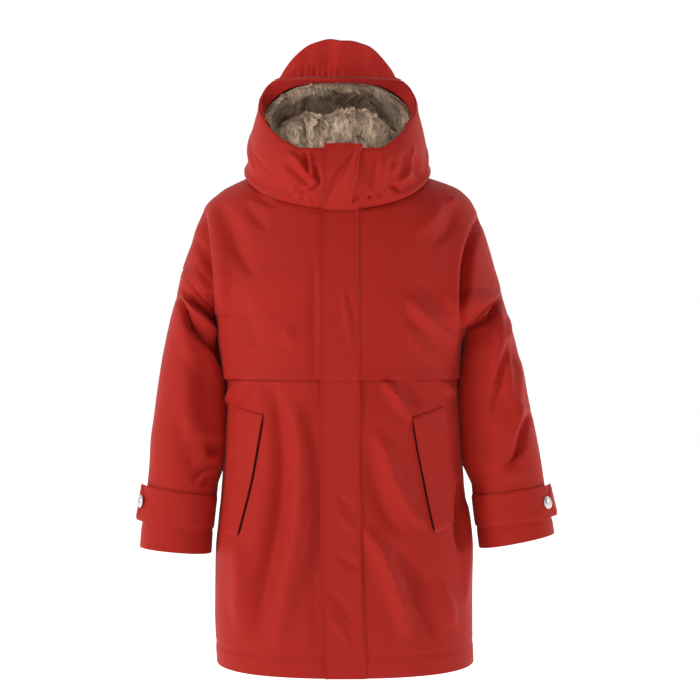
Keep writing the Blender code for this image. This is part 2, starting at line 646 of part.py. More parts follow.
def solid(name, colour, points, faces, roughness=0.6, metallic=0.0):
    """A closed mesh object with its faces pointing out, and a material of its own."""
    mesh = bpy.data.meshes.new(name)
    mesh.from_pydata([tuple(point) for point in points], [], faces)
    shape = bmesh.new()
    shape.from_mesh(mesh)
    bmesh.ops.dissolve_degenerate(shape, edges=shape.edges, dist=1e-5)
    bmesh.ops.triangulate(shape, faces=shape.faces)
    if shape.calc_volume(signed=True) < 0:
        bmesh.ops.reverse_faces(shape, faces=shape.faces)
    shape.to_mesh(mesh)
    shape.free()
    mesh.shade_smooth()
    mesh.set_sharp_from_angle(angle=np.radians(50))
    material = bpy.data.materials.new(name)
    material.use_nodes = True
    finish = material.node_tree.nodes["Principled BSDF"]
    finish.inputs["Base Color"].default_value = colour
    finish.inputs["Roughness"].default_value = roughness
    finish.inputs["Metallic"].default_value = metallic
    mesh.materials.append(material)
    piece = bpy.data.objects.new(name, mesh)
    bpy.context.scene.collection.objects.link(piece)
    return piece


def keep_front(side):
    """Keeps a front's inner points on its own side of the side seam and the middle line."""
    def limit(points):
        points[..., 1] = np.minimum(points[..., 1], -SEAM / 2)
        points[..., 0] = side * np.maximum(points[..., 0] * side, SEAM / 2)
        return points
    return limit


def keep_back(points):
    """Keeps the back's inner points behind the side seams, and all but the edges clear of their plane."""
    least = np.full(points.shape[1], SEAM / 2 + REST)
    least[[0, -1]] = SEAM / 2
    points[..., 1] = np.maximum(points[..., 1], least)
    return points


def side_name(side):
    return "right" if side == RIGHT else "left"


def sew(*edges):
    """Gives the edges of several grids, which hold the same points, the same normals."""
    mean = unit(sum(normals[at] for normals, at in edges))
    for normals, at in edges:
        normals[at] = mean


def shell_pieces():
    """The grids and normals of body, sleeves and hood, with their shared seams sewn."""
    notch, under, across = RIDGE_ROWS, RIDGE_ROWS + ARMHOLE_ROWS, MIDDLE_TO_SIDE
    back = back_grid()
    back_normals = -normals_of(back)
    turns = np.linspace(-180, 180, 4 * MIDDLE_TO_SIDE + 1)
    middle = len(turns) // 2
    cap = hood(*np.meshgrid(turns, np.linspace(0, 1, HOOD_RISE + 1)))
    cap_normals = normals_of(cap)
    cap_normals[:, 0] = cap_normals[:, -1] = unit(cap_normals[:, 0] + cap_normals[:, -1])
    grids = {"back": (back, back_normals), "hood": (cap, cap_normals)}
    for side, edge in ((RIGHT, -1), (LEFT, 0)):
        name = side_name(side)
        yoke, front, arm = yoke_grid(side), front_grid(side), sleeve_grid(side)
        yoke_normals, arm_normals = outward(yoke, side), normals_of(arm, closed=True) * side
        grids[f"yoke_{name}"] = (yoke, yoke_normals)
        grids[f"front_{name}"] = (front, outward(front, side))
        grids[f"sleeve_{name}"] = (arm, arm_normals)
        shoulder = slice(1, notch)
        sew((yoke_normals, (shoulder, -1)), (back_normals, (shoulder, edge)))
        hole, before = slice(notch + 1, under), slice(1, ARMHOLE_ROWS)
        behind = slice(2 * ARMHOLE_ROWS - 1, ARMHOLE_ROWS, -1)
        sew((yoke_normals, (hole, -1)), (arm_normals, (0, before)))
        sew((back_normals, (hole, edge)), (arm_normals, (0, behind)))
        sew((yoke_normals, (notch, -1)), (back_normals, (notch, edge)), (arm_normals, (0, 0)))
        yoke_normals[under, -1] = back_normals[under, edge] = arm_normals[0, ARMHOLE_ROWS] = (0, 0, -1)
        sides = slice(under + 1, None)
        flat = yoke_normals[sides, -1]
        flat[:, 1] = 0
        yoke_normals[sides, -1] = unit(flat)
        arm[0] += SEAM * unit(arm[1] - arm[0])
        in_front = slice(middle, middle + side * across, side)
        sew((yoke_normals, (0, slice(0, across))), (cap_normals, (0, in_front)))
        corner = middle + side * across
        sew((yoke_normals, (0, -1)), (back_normals, (0, edge)), (cap_normals, (0, corner)))
    behind_left = slice(middle + across + 1, 2 * middle + 1)
    behind_right = slice(1, middle - across)
    sew((back_normals, (0, slice(1, across + 1))), (cap_normals, (0, behind_left)))
    sew((back_normals, (0, slice(across + 1, 2 * across))), (cap_normals, (0, behind_right)))
    cap_normals[0, 0] = cap_normals[0, -1]
    cap[0, :, 2] += 2 * SEAM
    return grids


def over_crown(grid, middle, strip):
    """The hood's columns from the seam on the wearer's left over the back to the one on the right."""
    return np.concatenate([grid[:, middle + strip:-1], grid[:, :middle - strip + 1]], 1)


def make_shell():
    grids = shell_pieces()
    for side in (RIGHT, LEFT):
        for part in ("yoke", "front"):
            name = f"{part}_{side_name(side)}"
            cloth(name, RED, *grids[name], limit=keep_front(side))
        name = f"sleeve_{side_name(side)}"
        cloth(name, RED, *grids[name], closed=True)
    cloth("back", RED, *grids["back"], limit=keep_back)
    grid, normals = grids["hood"]
    middle, strip = grid.shape[1] // 2, int(STRIP_TURN / HOOD_TURN)
    right, left = slice(middle - strip, middle + 1), slice(middle, middle + strip + 1)
    cloth("hood_right", RED, trim(grid[:, right], ["first", "last"]), normals[:, right])
    cloth("hood_left", RED, trim(grid[:, left], ["first", "last"]), normals[:, left])
    crown, crown_normals = over_crown(grid, middle, strip), over_crown(normals, middle, strip)
    cloth("hood_centre", RED, trim(crown, ["first", "last"]), crown_normals)


# ---- what lies on the shell ------------------------------------------------------------------

def on_panel(base, side=LEFT):
    """A grid's points moved out by the cloth that lies on it, and their normals."""
    normals = outward(base, side)
    return base + normals * (REST + WALL), normals


def placket_edges(z):
    return [follow(PLACKET["level"], PLACKET[name], z)[..., None] for name in ("right", "left")]


def neck_level(x):
    """The level of the front neck seam at x."""
    turn = np.linspace(-60, 60, 121)
    seam = neck_loop(turn)
    return np.interp(x, seam[:, 0], seam[:, 2])


def placket_on_body(top, bottom, rows):
    """A stretch of the placket between two levels. One that starts at the neck follows its seam."""
    across = np.linspace(0, 1, PLACKET_COLUMNS + 1)
    down = np.linspace(0, 1, rows + 1)
    right, left = placket_edges(top + (bottom - top) * down)
    x = right + (left - right) * across
    start = neck_level(x) if top == NECK_FRONT else top
    return body(x, start + (bottom - start) * down[:, None], FRONT)


def placket_on_hood(rows):
    """The stretch on the hood's front, from a little above its rim down to the neck seam."""
    across = np.linspace(0, 1, PLACKET_COLUMNS + 1)
    turn = np.linspace(-40, 40, 81)
    lines = []
    for share in np.linspace(1, 0, rows + 1):
        line = hood(turn, share + 0 * turn)
        middle = np.interp(0, line[:, 0], line[:, 2])
        right, left = placket_edges(np.array(middle))
        x = right + (left - right) * across
        lines.append(np.stack([np.interp(x, line[:, 0], line[:, k]) for k in range(3)], -1))
    above = lines[0] + PLACKET_TOP * unit(lines[0] - lines[1])
    return np.array([above, *lines])


def make_placket():
    stretches = [placket_on_hood(PLACKET_ROWS[0]),
                 placket_on_body(NECK_FRONT, YOKE_HEM, PLACKET_ROWS[1]),
                 placket_on_body(YOKE_HEM, HEM_FRONT, PLACKET_ROWS[2])]
    normals = [outward(base, LEFT) for base in stretches]
    for upper, lower in zip(normals, normals[1:]):
        sew((upper, (-1,)), (lower, (0,)))
    edges = (["bottom"], ["top", "bottom"], ["top"])
    for part, base, normal, seams in zip(("collar", "chest", "skirt"), stretches, normals, edges):
        outer = trim(base + normal * (REST + WALL), seams)
        cloth(f"placket_{part}", RED, outer, normal)


def make_welt(side):
    rows = WELTS[side]
    at = np.arange(len(rows["outer"]), dtype=float)
    along = np.linspace(0, at[-1], WELT_ROWS + 1)
    read = {name: follow(at, rows[name], along)[:, None] for name in rows}
    across = np.linspace(1, 0, WELT_COLUMNS + 1)
    x = side * (read["outer"] + (read["inner"] - read["outer"]) * across)
    z = read["outer_z"] + (read["inner_z"] - read["outer_z"]) * across
    base = body(x, z, FRONT)
    base = base + outward(base, side) * tuck(z)[..., None]
    cloth(f"welt_{side_name(side)}", RED, *on_panel(base, side))


def strap_base(side):
    """The strap's points on the sleeve, from behind round the front to the tab's pointed end."""
    turn = np.linspace(STRAP_START, STRAP_END, STRAP_COLUMNS + 1)
    along = np.linspace(STRAP_TOP, STRAP_BOTTOM, STRAP_ROWS + 1)
    base = sleeve_folded(side, *np.meshgrid(turn, along))
    ahead = unit(base[:, -1] - base[:, -2])
    middle = base[STRAP_ROWS // 2, -1]
    tip = middle + TAB_TIP * ahead[STRAP_ROWS // 2]
    shoulder = base[:, -1] + TAB_SHOULDER * TAB_TIP * ahead
    point = tip + TAB_BLUNT * (shoulder - shoulder[STRAP_ROWS // 2])
    return np.concatenate([base, shoulder[:, None], point[:, None]], 1)


def strap_grid(side):
    """The strap's outer points and normals. The tab's end stands off the sleeve."""
    base = strap_base(side)
    columns = np.arange(base.shape[1])
    rise = TAB_LIFT * ease(STRAP_COLUMNS - TAB_COLUMNS, columns[-1], columns)
    outer = base - normals_of(base) * side * (STRAP_REST + WALL + rise[:, None])
    return outer, -normals_of(outer) * side


def make_cuff(side):
    outer, normals = strap_grid(side)
    cloth(f"strap_{side_name(side)}", RED, outer, normals)
    spot = STRAP_COLUMNS + (STRAP_END - SNAP_TURN[side]) / ((STRAP_START - STRAP_END) / STRAP_COLUMNS)
    row, column = STRAP_ROWS // 2, int(np.floor(spot))
    part = spot - column
    centre = outer[row, column] * (1 - part) + outer[row, column + 1] * part
    up = unit(normals[row, column] * (1 - part) + normals[row, column + 1] * part)
    make_snap(f"snap_{side_name(side)}", centre, up)


def make_snap(name, centre, up):
    """A shallow domed cap on the tab."""
    first = unit(np.cross(up, (0, 0, 1)))
    second = np.cross(up, first)
    points, faces = [], []
    for reach, height in SNAP_RINGS:
        for turn in np.arange(SNAP_SIDES) * 2 * pi / SNAP_SIDES:
            way = np.cos(turn) * first + np.sin(turn) * second
            points.append(centre + way * SNAP_RADIUS * reach + up * (SNAP_GAP + height))
    for ring in range(len(SNAP_RINGS) - 1):
        for k in range(SNAP_SIDES):
            here, after = ring * SNAP_SIDES + k, ring * SNAP_SIDES + (k + 1) % SNAP_SIDES
            faces.append([here, after, after + SNAP_SIDES, here + SNAP_SIDES])
    faces.append(list(range(SNAP_SIDES))[::-1])
    faces.append([(len(SNAP_RINGS) - 1) * SNAP_SIDES + k for k in range(SNAP_SIDES)])
    solid(name, SILVER, np.array(points), faces, roughness=0.25, metallic=1.0)


# ---- the hood's trimmings ---------------------------------------------------------------------

def crown_turns():
    """The hood's columns over its centre strip, from the wearer's left to the right."""
    left = np.arange(STRIP_TURN, 180.0, HOOD_TURN)
    return np.concatenate([left, -np.arange(180.0, STRIP_TURN - 1, -HOOD_TURN)])


def visor_points():
    """The visor from its free edge down to the rim, from the wearer's left to the right."""
    turn = crown_turns()
    rim = hood(turn, 1 + 0 * turn)
    across = (rim[:, 0] - HOOD_MIDDLE) / VISOR_HALF
    tall = np.maximum(1 - np.abs(across) ** VISOR_ROUND, VISOR_LOW)
    share = np.linspace(1, 0, VISOR_ROWS + 1)[:, None]
    height = share * tall
    return rim + np.stack([0 * height, -VISOR_OUT * height, VISOR_UP * height], -1)


def make_visor():
    grid = visor_points()
    normals = normals_of(grid)
    grid[-1] += SEAM * unit(grid[-2] - grid[-1])
    cloth("visor", RED, grid, normals, thickness=VISOR_WALL)


def lining_grid():
    """The lining from its front edge down to the neck, and its normals towards the shell."""
    turns = np.linspace(-180, 180, 4 * MIDDLE_TO_SIDE + 1)[:-1]
    grid = lining(*np.meshgrid(turns, np.linspace(1, 0, LINING_ROWS + 1)))
    return turns, grid, -normals_of(grid, closed=True)


def make_lining():
    _, grid, normals = lining_grid()
    cloth("hood_lining", FUR_COLOUR, grid, normals, thickness=FUR, closed=True, roughness=0.95)


def facing_grid():
    """The facing from just inside the shell's rim to just short of the lining's front edge."""
    turns = np.arange(FACING_TURN, 361 - FACING_TURN, HOOD_TURN)
    turns = np.where(turns > 180, turns - 360, turns)
    near_rim = hood(*np.meshgrid(turns, 1 - np.arange(3) / HOOD_RISE))
    rim = near_rim[0] + normals_of(near_rim)[0] * (WALL + 2 * SEAM)
    edge = lining(turns, 1 + 0 * turns)
    return rim + (edge - rim) * np.linspace(0, FACING_END, FACING_ROWS + 1)[:, None, None]


def make_facing():
    grid = facing_grid()
    normals = normals_of(grid)
    cloth("hood_facing", RED_INSIDE, grid + normals * WALL, normals)


def fold_grid():
    """The fold of fur: up behind the chin along the lining, over its crest and down again."""
    turns, grid, normals = lining_grid()
    held = np.abs(turns) <= FOLD_TURN
    leg = (grid - normals * (FUR + 2 * SEAM))[FOLD_LEG::-1, held]
    turn = turns[held]
    crest, back, foot = (follow(FOLD["turn"], FOLD[name], turn) for name in ("crest_z", "back", "foot"))
    rim, inward = leg[-1], inward_from(leg[-1])

    def placed(reach, z):
        return rim * np.array([1, 1, 0]) + inward * (reach * back)[:, None] + np.stack([0 * z, 0 * z, z], -1)

    rising = rim[:, 2] + (crest - rim[:, 2]) * FOLD_SHOULDER
    falling = foot + (crest - foot) * FOLD_SHOULDER
    levels = (rising, crest, falling, foot)
    knots = np.array([rim, *(placed(reach, z) for reach, z in zip(FOLD_REACH, levels))])
    steps = np.arange(len(knots), dtype=float)
    rows = np.linspace(0, steps[-1], FOLD_CREST_ROWS + 1)[1:]
    over = np.empty((len(rows), len(turn), 3))
    for column in range(len(turn)):
        for k in range(3):
            over[:, column, k] = follow(steps, knots[:, column, k], rows)
    return np.concatenate([leg, over])


def inward_from(points):
    """Level directions towards the hood's upright middle line."""
    away = (np.array([HOOD_MIDDLE, HOOD_MIDDLE_Y, 0.0]) - points) * np.array([1, 1, 0])
    return unit(away)


def make_fold():
    grid = fold_grid()
    cloth("lining_fold", FUR_COLOUR, grid, normals_of(grid), thickness=FOLD_WALL, roughness=0.95)


for old in list(bpy.data.objects):
    bpy.data.objects.remove(old)

make_shell()
make_placket()
for body_side in (RIGHT, LEFT):
    make_welt(body_side)
    make_cuff(body_side)
make_visor()
make_lining()
make_facing()
make_fold()
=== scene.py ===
"""The looks of a child's hooded raincoat: red weatherproof shell, fur-lined hood, silver snaps.

Metres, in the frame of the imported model: +Z up, the front faces -Y, the wearer's left is at +X.
Every panel is rebuilt on the form of its solid as a thin shell with its creases.
"""

import bpy
import numpy as np
from math import pi
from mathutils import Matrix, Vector, noise


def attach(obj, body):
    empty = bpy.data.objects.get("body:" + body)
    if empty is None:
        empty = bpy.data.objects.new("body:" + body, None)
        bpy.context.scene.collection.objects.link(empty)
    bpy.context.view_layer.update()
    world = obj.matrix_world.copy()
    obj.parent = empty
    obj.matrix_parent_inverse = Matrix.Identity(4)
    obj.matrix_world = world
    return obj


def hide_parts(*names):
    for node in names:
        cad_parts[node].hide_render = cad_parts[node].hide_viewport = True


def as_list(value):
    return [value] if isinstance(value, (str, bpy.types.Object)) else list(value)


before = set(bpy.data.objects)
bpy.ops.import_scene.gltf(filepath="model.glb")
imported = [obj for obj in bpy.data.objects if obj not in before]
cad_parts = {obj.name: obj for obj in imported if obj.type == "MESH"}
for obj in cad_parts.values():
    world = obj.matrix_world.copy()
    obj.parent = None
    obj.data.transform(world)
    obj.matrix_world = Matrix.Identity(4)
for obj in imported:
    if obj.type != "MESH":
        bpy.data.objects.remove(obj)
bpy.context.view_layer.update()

# ---- the coat's form -------------------------------------------------------------------------

# Cloth and seams
WALL = 0.0025           # shell cloth with its padding
FUR = 0.007             # lining cloth with its pile
SEAM = 0.0003           # between two pieces that are sewn together
REST = 0.0006           # under a piece that lies on curved cloth
FRONT, BACK = -1, 1     # the face of the body, as a sign of Y
RIGHT, LEFT = -1, 1     # the wearer's side, as a sign of X

# Levels along the body, measured from the shoulders
NECK_FRONT, NECK_BACK, NECK_SIDE = -0.043, 0.002, 0.011
YOKE_HEM = -0.267
YOKE_OVERLAP = 0.020    # how far the fronts reach up under the yokes
HEM_FRONT, HEM_BACK, HEM_SIDE = -0.6634, -0.6650, -0.6527

# Shape of the level sections
SLEEVE_SQUARE = 2.2     # roundness of the sleeves' sections: 2 is an ellipse
DIP = 1.7               # how late a row of cloth rises from the middle to the side
ARMHOLE_OPEN = 0.45     # radians by which rows that end at the armhole stop short of the side
ARMHOLE_DEPTH = {FRONT: 0.058, BACK: 0.056}     # half of the armhole, before and behind the side
ROW_DROP = 0.020        # by which rows fall to the armhole's top, or rise to the underarm
WEB = 0.012             # height over which the side widens to the underarm
TUCK_TOP, TUCK_END = -0.275, -0.335     # where the lower fronts lie right under the yokes, and freely

# Number of faces
MIDDLE_TO_SIDE = 50     # columns on each half of the body
RIDGE_ROWS, ARMHOLE_ROWS = 30, 40
YOKE_SIDE_ROWS, SKIRT_ROWS = 24, 130
SLEEVE_RINGS = 120
HOOD_TURN = 90 / MIDDLE_TO_SIDE      # degrees a column of the hood, to meet the body's columns
HOOD_RISE = 90                       # rows from the neck to the rim
PLACKET_COLUMNS, PLACKET_ROWS = 44, (60, 70, 130)
WELT_ROWS, WELT_COLUMNS = 60, 16
STRAP_ROWS, STRAP_COLUMNS, TAB_COLUMNS = 14, 80, 30
VISOR_ROWS, LINING_ROWS = 24, 42
FACING_ROWS = 8
FOLD_LEG, FOLD_CREST_ROWS = 24, 54   # rows beside the lining, and from there over the crest


def table(columns, *rows):
    """A table as {column name: array}."""
    return {name: np.array(values, float) for name, values in zip(columns.split(), zip(*rows))}


# The shoulders' outline down to the armhole's top: half widths
SHOULDERS = table(
    "level   right   left",
    (+0.011, 0.1270, 0.1150),
    (+0.006, 0.1380, 0.1320),
    (+0.000, 0.1504, 0.1480),
    (-0.007, 0.1635, 0.1620),
    (-0.014, 0.1725, 0.1700),
    (-0.022, 0.1822, 0.1773),
    (-0.033, 0.1904, 0.1830),
    (-0.046, 0.1962, 0.1887),
    (-0.065, 0.2030, 0.1957),
    (-0.080, 0.2070, 0.2003),
    (-0.099, 0.2140, 0.2060),
    (-0.117, 0.2200, 0.2110),
    (-0.131, 0.2230, 0.2155),
    (-0.145, 0.2260, 0.2193),
)

# The side seams below the arms: half widths
SIDES = table(
    "level   right   left",
    (-0.180, 0.1690, 0.1680),
    (-0.200, 0.1680, 0.1665),
    (-0.240, 0.1650, 0.1640),
    (-0.270, 0.1625, 0.1620),
    (-0.310, 0.1610, 0.1620),
    (-0.360, 0.1620, 0.1640),
    (-0.430, 0.1665, 0.1710),
    (-0.460, 0.1700, 0.1760),
    (-0.500, 0.1738, 0.1795),
    (-0.580, 0.1750, 0.1795),
    (-0.670, 0.1705, 0.1808),
)

# The body's level sections: depths on the middle line, and roundness (2 is an ellipse)
SECTIONS = table(
    "level   front   back    round",
    (+0.011, 0.0520, 0.0500, 2.0),
    (+0.006, 0.0660, 0.0620, 2.0),
    (+0.000, 0.0760, 0.0720, 2.0),
    (-0.007, 0.0850, 0.0800, 2.0),
    (-0.014, 0.0920, 0.0860, 2.0),
    (-0.022, 0.0970, 0.0900, 2.0),
    (-0.033, 0.1020, 0.0940, 2.0),
    (-0.065, 0.1100, 0.1010, 2.0),
    (-0.099, 0.1155, 0.1045, 2.0),
    (-0.145, 0.1185, 0.1050, 2.0),
    (-0.200, 0.1185, 0.1030, 2.6),
    (-0.240, 0.1180, 0.1020, 2.5),
    (-0.270, 0.1175, 0.1015, 2.5),
    (-0.310, 0.1160, 0.1015, 2.5),
    (-0.360, 0.1140, 0.1025, 2.5),
    (-0.430, 0.1110, 0.1050, 2.5),
    (-0.460, 0.1100, 0.1060, 2.5),
    (-0.500, 0.1090, 0.1075, 2.5),
    (-0.580, 0.1070, 0.1100, 2.5),
    (-0.670, 0.1050, 0.1120, 2.5),
)

# The sleeves' sections from armhole to cuff, each through an outer and an inner point beside the body
SLEEVES = {
    RIGHT: table(
        "outer   outer_z  inner   inner_z  front   back",
        (0.2200, -0.1170, 0.1725, -0.1810, 0.0640, 0.0620),
        (0.2277, -0.1530, 0.1775, -0.2060, 0.0650, 0.0590),
        (0.2360, -0.1860, 0.1715, -0.2400, 0.0660, 0.0560),
        (0.2456, -0.2330, 0.1665, -0.2780, 0.0670, 0.0530),
        (0.2530, -0.2815, 0.1650, -0.3150, 0.0670, 0.0500),
        (0.2580, -0.3215, 0.1655, -0.3480, 0.0670, 0.0470),
        (0.2620, -0.3505, 0.1670, -0.3720, 0.0665, 0.0440),
        (0.2645, -0.3890, 0.1700, -0.4060, 0.0655, 0.0410),
        (0.2677, -0.4195, 0.1728, -0.4330, 0.0650, 0.0380),
        (0.2738, -0.4580, 0.1765, -0.4690, 0.0650, 0.0360),
        (0.2770, -0.4960, 0.1790, -0.5050, 0.0650, 0.0350),
    ),
    LEFT: table(
        "outer   outer_z  inner   inner_z  front   back",
        (0.2193, -0.1450, 0.1725, -0.1980, 0.0640, 0.0620),
        (0.2250, -0.1697, 0.1770, -0.2210, 0.0650, 0.0590),
        (0.2367, -0.2063, 0.1725, -0.2520, 0.0660, 0.0560),
        (0.2450, -0.2415, 0.1700, -0.2830, 0.0670, 0.0530),
        (0.2549, -0.2870, 0.1705, -0.3180, 0.0670, 0.0500),
        (0.2600, -0.3110, 0.1715, -0.3380, 0.0670, 0.0470),
        (0.2650, -0.3353, 0.1725, -0.3570, 0.0665, 0.0440),
        (0.2732, -0.3795, 0.1765, -0.3960, 0.0655, 0.0410),
        (0.2795, -0.4210, 0.1795, -0.4340, 0.0650, 0.0380),
        (0.2870, -0.4526, 0.1835, -0.4660, 0.0650, 0.0360),
        (0.2912, -0.4775, 0.1880, -0.4980, 0.0650, 0.0350),
    ),
}

# The hood from the chin (turn 0) round to the crown (turn 180): the rim's points, and how the cloth
# leaves the neck seam (low) and reaches the rim (high); outward is away from the hood's middle
HOOD_MIDDLE = -0.0055
HOOD = table(
    "turn  rim     rim_y    rim_z   low     low_y   low_z   high    high_y  high_z",
    (0.0, 0.0000, -0.1220, 0.0400, 0.0000, -0.0200, 0.0230, 0.0000, -0.006, -0.020),
    (22., 0.0470, -0.1180, 0.0390, 0.0040, -0.0180, 0.0230, 0.0040, -0.006, -0.020),
    (45., 0.0830, -0.0990, 0.0600, 0.0080, -0.0140, 0.0260, 0.0120, -0.004, -0.024),
    (65., 0.0990, -0.0790, 0.0790, 0.0080, -0.0060, 0.0320, 0.0140, 0.0080, -0.030),
    (80., 0.1065, -0.0600, 0.0930, 0.0060, 0.0060, 0.0360, 0.0130, 0.0240, -0.026),
    (100, 0.1080, -0.0470, 0.1080, 0.0040, 0.0240, 0.0420, 0.0020, 0.0420, -0.020),
    (120, 0.1015, -0.0400, 0.1250, 0.0080, 0.0450, 0.0520, -0.004, 0.0600, -0.008),
    (135, 0.0930, -0.0400, 0.1350, 0.0130, 0.0650, 0.0600, 0.0000, 0.0800, 0.0080),
    (148, 0.0825, -0.0440, 0.1395, 0.0150, 0.0850, 0.0660, 0.0040, 0.0980, 0.0300),
    (165, 0.0420, -0.0580, 0.1400, 0.0100, 0.1020, 0.0730, 0.0040, 0.1150, 0.0560),
    (180, 0.0000, -0.0650, 0.1390, 0.0000, 0.1100, 0.0770, 0.0000, 0.1220, 0.0700),
)
STRIP_TURN = 144.0      # the seam between a side of the hood and its centre strip

# The fur lining's front edge and its run back into the hood, in the same terms
LINING = table(
    "turn  rim     rim_y    rim_z   low     low_y   low_z   high    high_y  high_z",
    (0.0, 0.0000, -0.1140, 0.0330, 0.0000, -0.0060, 0.0140, 0.0000, 0.0000, -0.016),
    (22., 0.0440, -0.1100, 0.0320, 0.0020, -0.0060, 0.0140, 0.0000, 0.0000, -0.016),
    (45., 0.0760, -0.0900, 0.0530, 0.0040, -0.0040, 0.0200, 0.0060, 0.0000, -0.020),
    (65., 0.0930, -0.0700, 0.0720, 0.0040, 0.0000, 0.0260, 0.0100, 0.0100, -0.024),
    (80., 0.1000, -0.0500, 0.0865, 0.0020, 0.0060, 0.0320, 0.0060, 0.0260, -0.022),
    (100, 0.0960, -0.0370, 0.1020, 0.0000, 0.0200, 0.0400, 0.0020, 0.0420, -0.020),
    (120, 0.0820, -0.0340, 0.1165, 0.0020, 0.0380, 0.0500, 0.0020, 0.0560, -0.018),
    (135, 0.0680, -0.0370, 0.1250, 0.0040, 0.0520, 0.0580, 0.0020, 0.0660, -0.012),
    (148, 0.0530, -0.0430, 0.1305, 0.0040, 0.0660, 0.0640, 0.0020, 0.0780, -0.008),
    (165, 0.0260, -0.0510, 0.1340, 0.0020, 0.0760, 0.0680, 0.0020, 0.0860, -0.006),
    (180, 0.0000, -0.0540, 0.1345, 0.0000, 0.0800, 0.0700, 0.0000, 0.0880, -0.006),
)
LINING_IN = 0.009       # the lining's foot, in from the neck seam
LINING_RISE = 0.004     # and above it
HOOD_MIDDLE_Y = -0.010  # the hood's upright middle line, with HOOD_MIDDLE

# The visor: its free edge above and before the rim, from the middle outwards
VISOR_HALF = 0.0805
VISOR_UP, VISOR_OUT = 0.0430, 0.0380
VISOR_ROUND = 2.7       # its roundness seen from the front: 2 is an ellipse
VISOR_LOW = 0.05        # the visor's height at its ends, as a share
VISOR_WALL = 0.003

# The facing inside the rim, and the fold of fur behind the chin
FACING_TURN = 63.0
FACING_END = 0.88       # where the facing stops on its way from the shell to the lining
FOLD_TURN = 54.0
FOLD_WALL = 0.006
FOLD_SHOULDER = 0.6     # height of the fold's shoulders on the way to its crest
FOLD_REACH = (0.10, 0.42, 0.86, 1.0)    # of the shoulders, the crest and the foot, from the rim backwards
FOLD = table(
    "turn   crest_z  back     foot",
    (-50.0, 0.0760, 0.0420, 0.0400),
    (-34.0, 0.0880, 0.0500, 0.0320),
    (-16.0, 0.0830, 0.0520, 0.0260),
    (+0.00, 0.0890, 0.0560, 0.0240),
    (+20.0, 0.0880, 0.0520, 0.0280),
    (+36.0, 0.0800, 0.0480, 0.0340),
    (+50.0, 0.0680, 0.0400, 0.0420),
)

# The placket's edges beside the middle line
PLACKET = table(
    "level   right    left",
    (+0.045, -0.0225, 0.0280),
    (+0.000, -0.0235, 0.0250),
    (-0.043, -0.0255, 0.0225),
    (-0.267, -0.0280, 0.0245),
    (-0.460, -0.0280, 0.0275),
    (-0.600, -0.0245, 0.0315),
    (-0.664, -0.0215, 0.0335),
)
PLACKET_TOP = 0.004     # above the hood's chin edge

# The pocket welts' outer and inner edges, from top to bottom
WELTS = {
    RIGHT: table(
        "outer   outer_z  inner   inner_z",
        (0.1462, -0.3027, 0.1041, -0.3124),
        (0.1518, -0.3380, 0.1112, -0.3540),
        (0.1545, -0.3800, 0.1195, -0.4000),
        (0.1560, -0.4250, 0.1290, -0.4400),
        (0.1590, -0.4744, 0.1390, -0.4777),
    ),
    LEFT: table(
        "outer   outer_z  inner   inner_z",
        (0.1383, -0.3014, 0.0936, -0.3164),
        (0.1437, -0.3443, 0.1005, -0.3580),
        (0.1510, -0.3800, 0.1085, -0.3980),
        (0.1557, -0.4150, 0.1160, -0.4360),
        (0.1584, -0.4569, 0.1242, -0.4721),
    ),
}

# The cuff straps: their turn round the sleeve (0 outside, 90 front) and their place along it
STRAP_START, STRAP_END = 172.0, 8.0
STRAP_TOP, STRAP_BOTTOM = 7.75, 9.05    # in sections of the sleeve table
TAB_TIP = 0.014                         # the pointed end beyond STRAP_END
TAB_SHOULDER = 0.55                     # where its slanted sides begin, as a share of that
TAB_LIFT = 0.004                        # how far the tab's end stands off the sleeve
STRAP_REST = 0.0009                     # under the strap
TAB_BLUNT = 0.30                        # width of the tab's end as a share of the strap
SNAP_TURN = {RIGHT: 14.0, LEFT: 24.0}
SNAP_RADIUS, SNAP_GAP = 0.0085, 0.0005  # and the gap under the snap


def follow(knots, values, at):
    """A smooth curve through a table's values that overshoots none of them, read at `at`."""
    order = np.argsort(knots)
    knots, values, at = knots[order], values[order], np.asarray(at, float)
    step = np.diff(knots)
    slope = np.diff(values) / step
    lean = np.concatenate([slope[:1], np.zeros(len(knots) - 2), slope[-1:]])
    rising = slope[1:] * slope[:-1] > 0
    mean = slope[1:] + slope[:-1]
    lean[1:-1][rising] = 2 * (slope[1:] * slope[:-1])[rising] / mean[rising]
    i = np.clip(np.searchsorted(knots, at) - 1, 0, len(step) - 1)
    t = np.clip((at - knots[i]) / step[i], 0, 1)
    near = values[i] * (1 + 2 * t) * (1 - t) ** 2 + step[i] * lean[i] * t * (1 - t) ** 2
    far = values[i + 1] * t * t * (3 - 2 * t) + step[i] * lean[i + 1] * t * t * (t - 1)
    return near + far


def ease(low, high, at):
    """0 below low, 1 above high, and a smooth rise between them."""
    t = np.clip((np.asarray(at, float) - low) / (high - low), 0, 1)
    return t * t * (3 - 2 * t)


def unit(vectors):
    return vectors / np.maximum(np.linalg.norm(vectors, axis=-1, keepdims=True), 1e-12)


def normals_of(grid, closed=False):
    """The normals of a grid of points, on the side where rows down and columns across turn right."""
    if closed:
        across = np.roll(grid, -1, 1) - np.roll(grid, 1, 1)
    else:
        across = np.gradient(grid, axis=1)
    return unit(np.cross(across, np.gradient(grid, axis=0)))


# ---- the body -------------------------------------------------------------------------------

def armhole(side):
    """x and z of the armhole seam's two ends: the notch on the shoulder and the underarm."""
    return tuple(SLEEVES[side][name][0] for name in ("outer", "outer_z", "inner", "inner_z"))


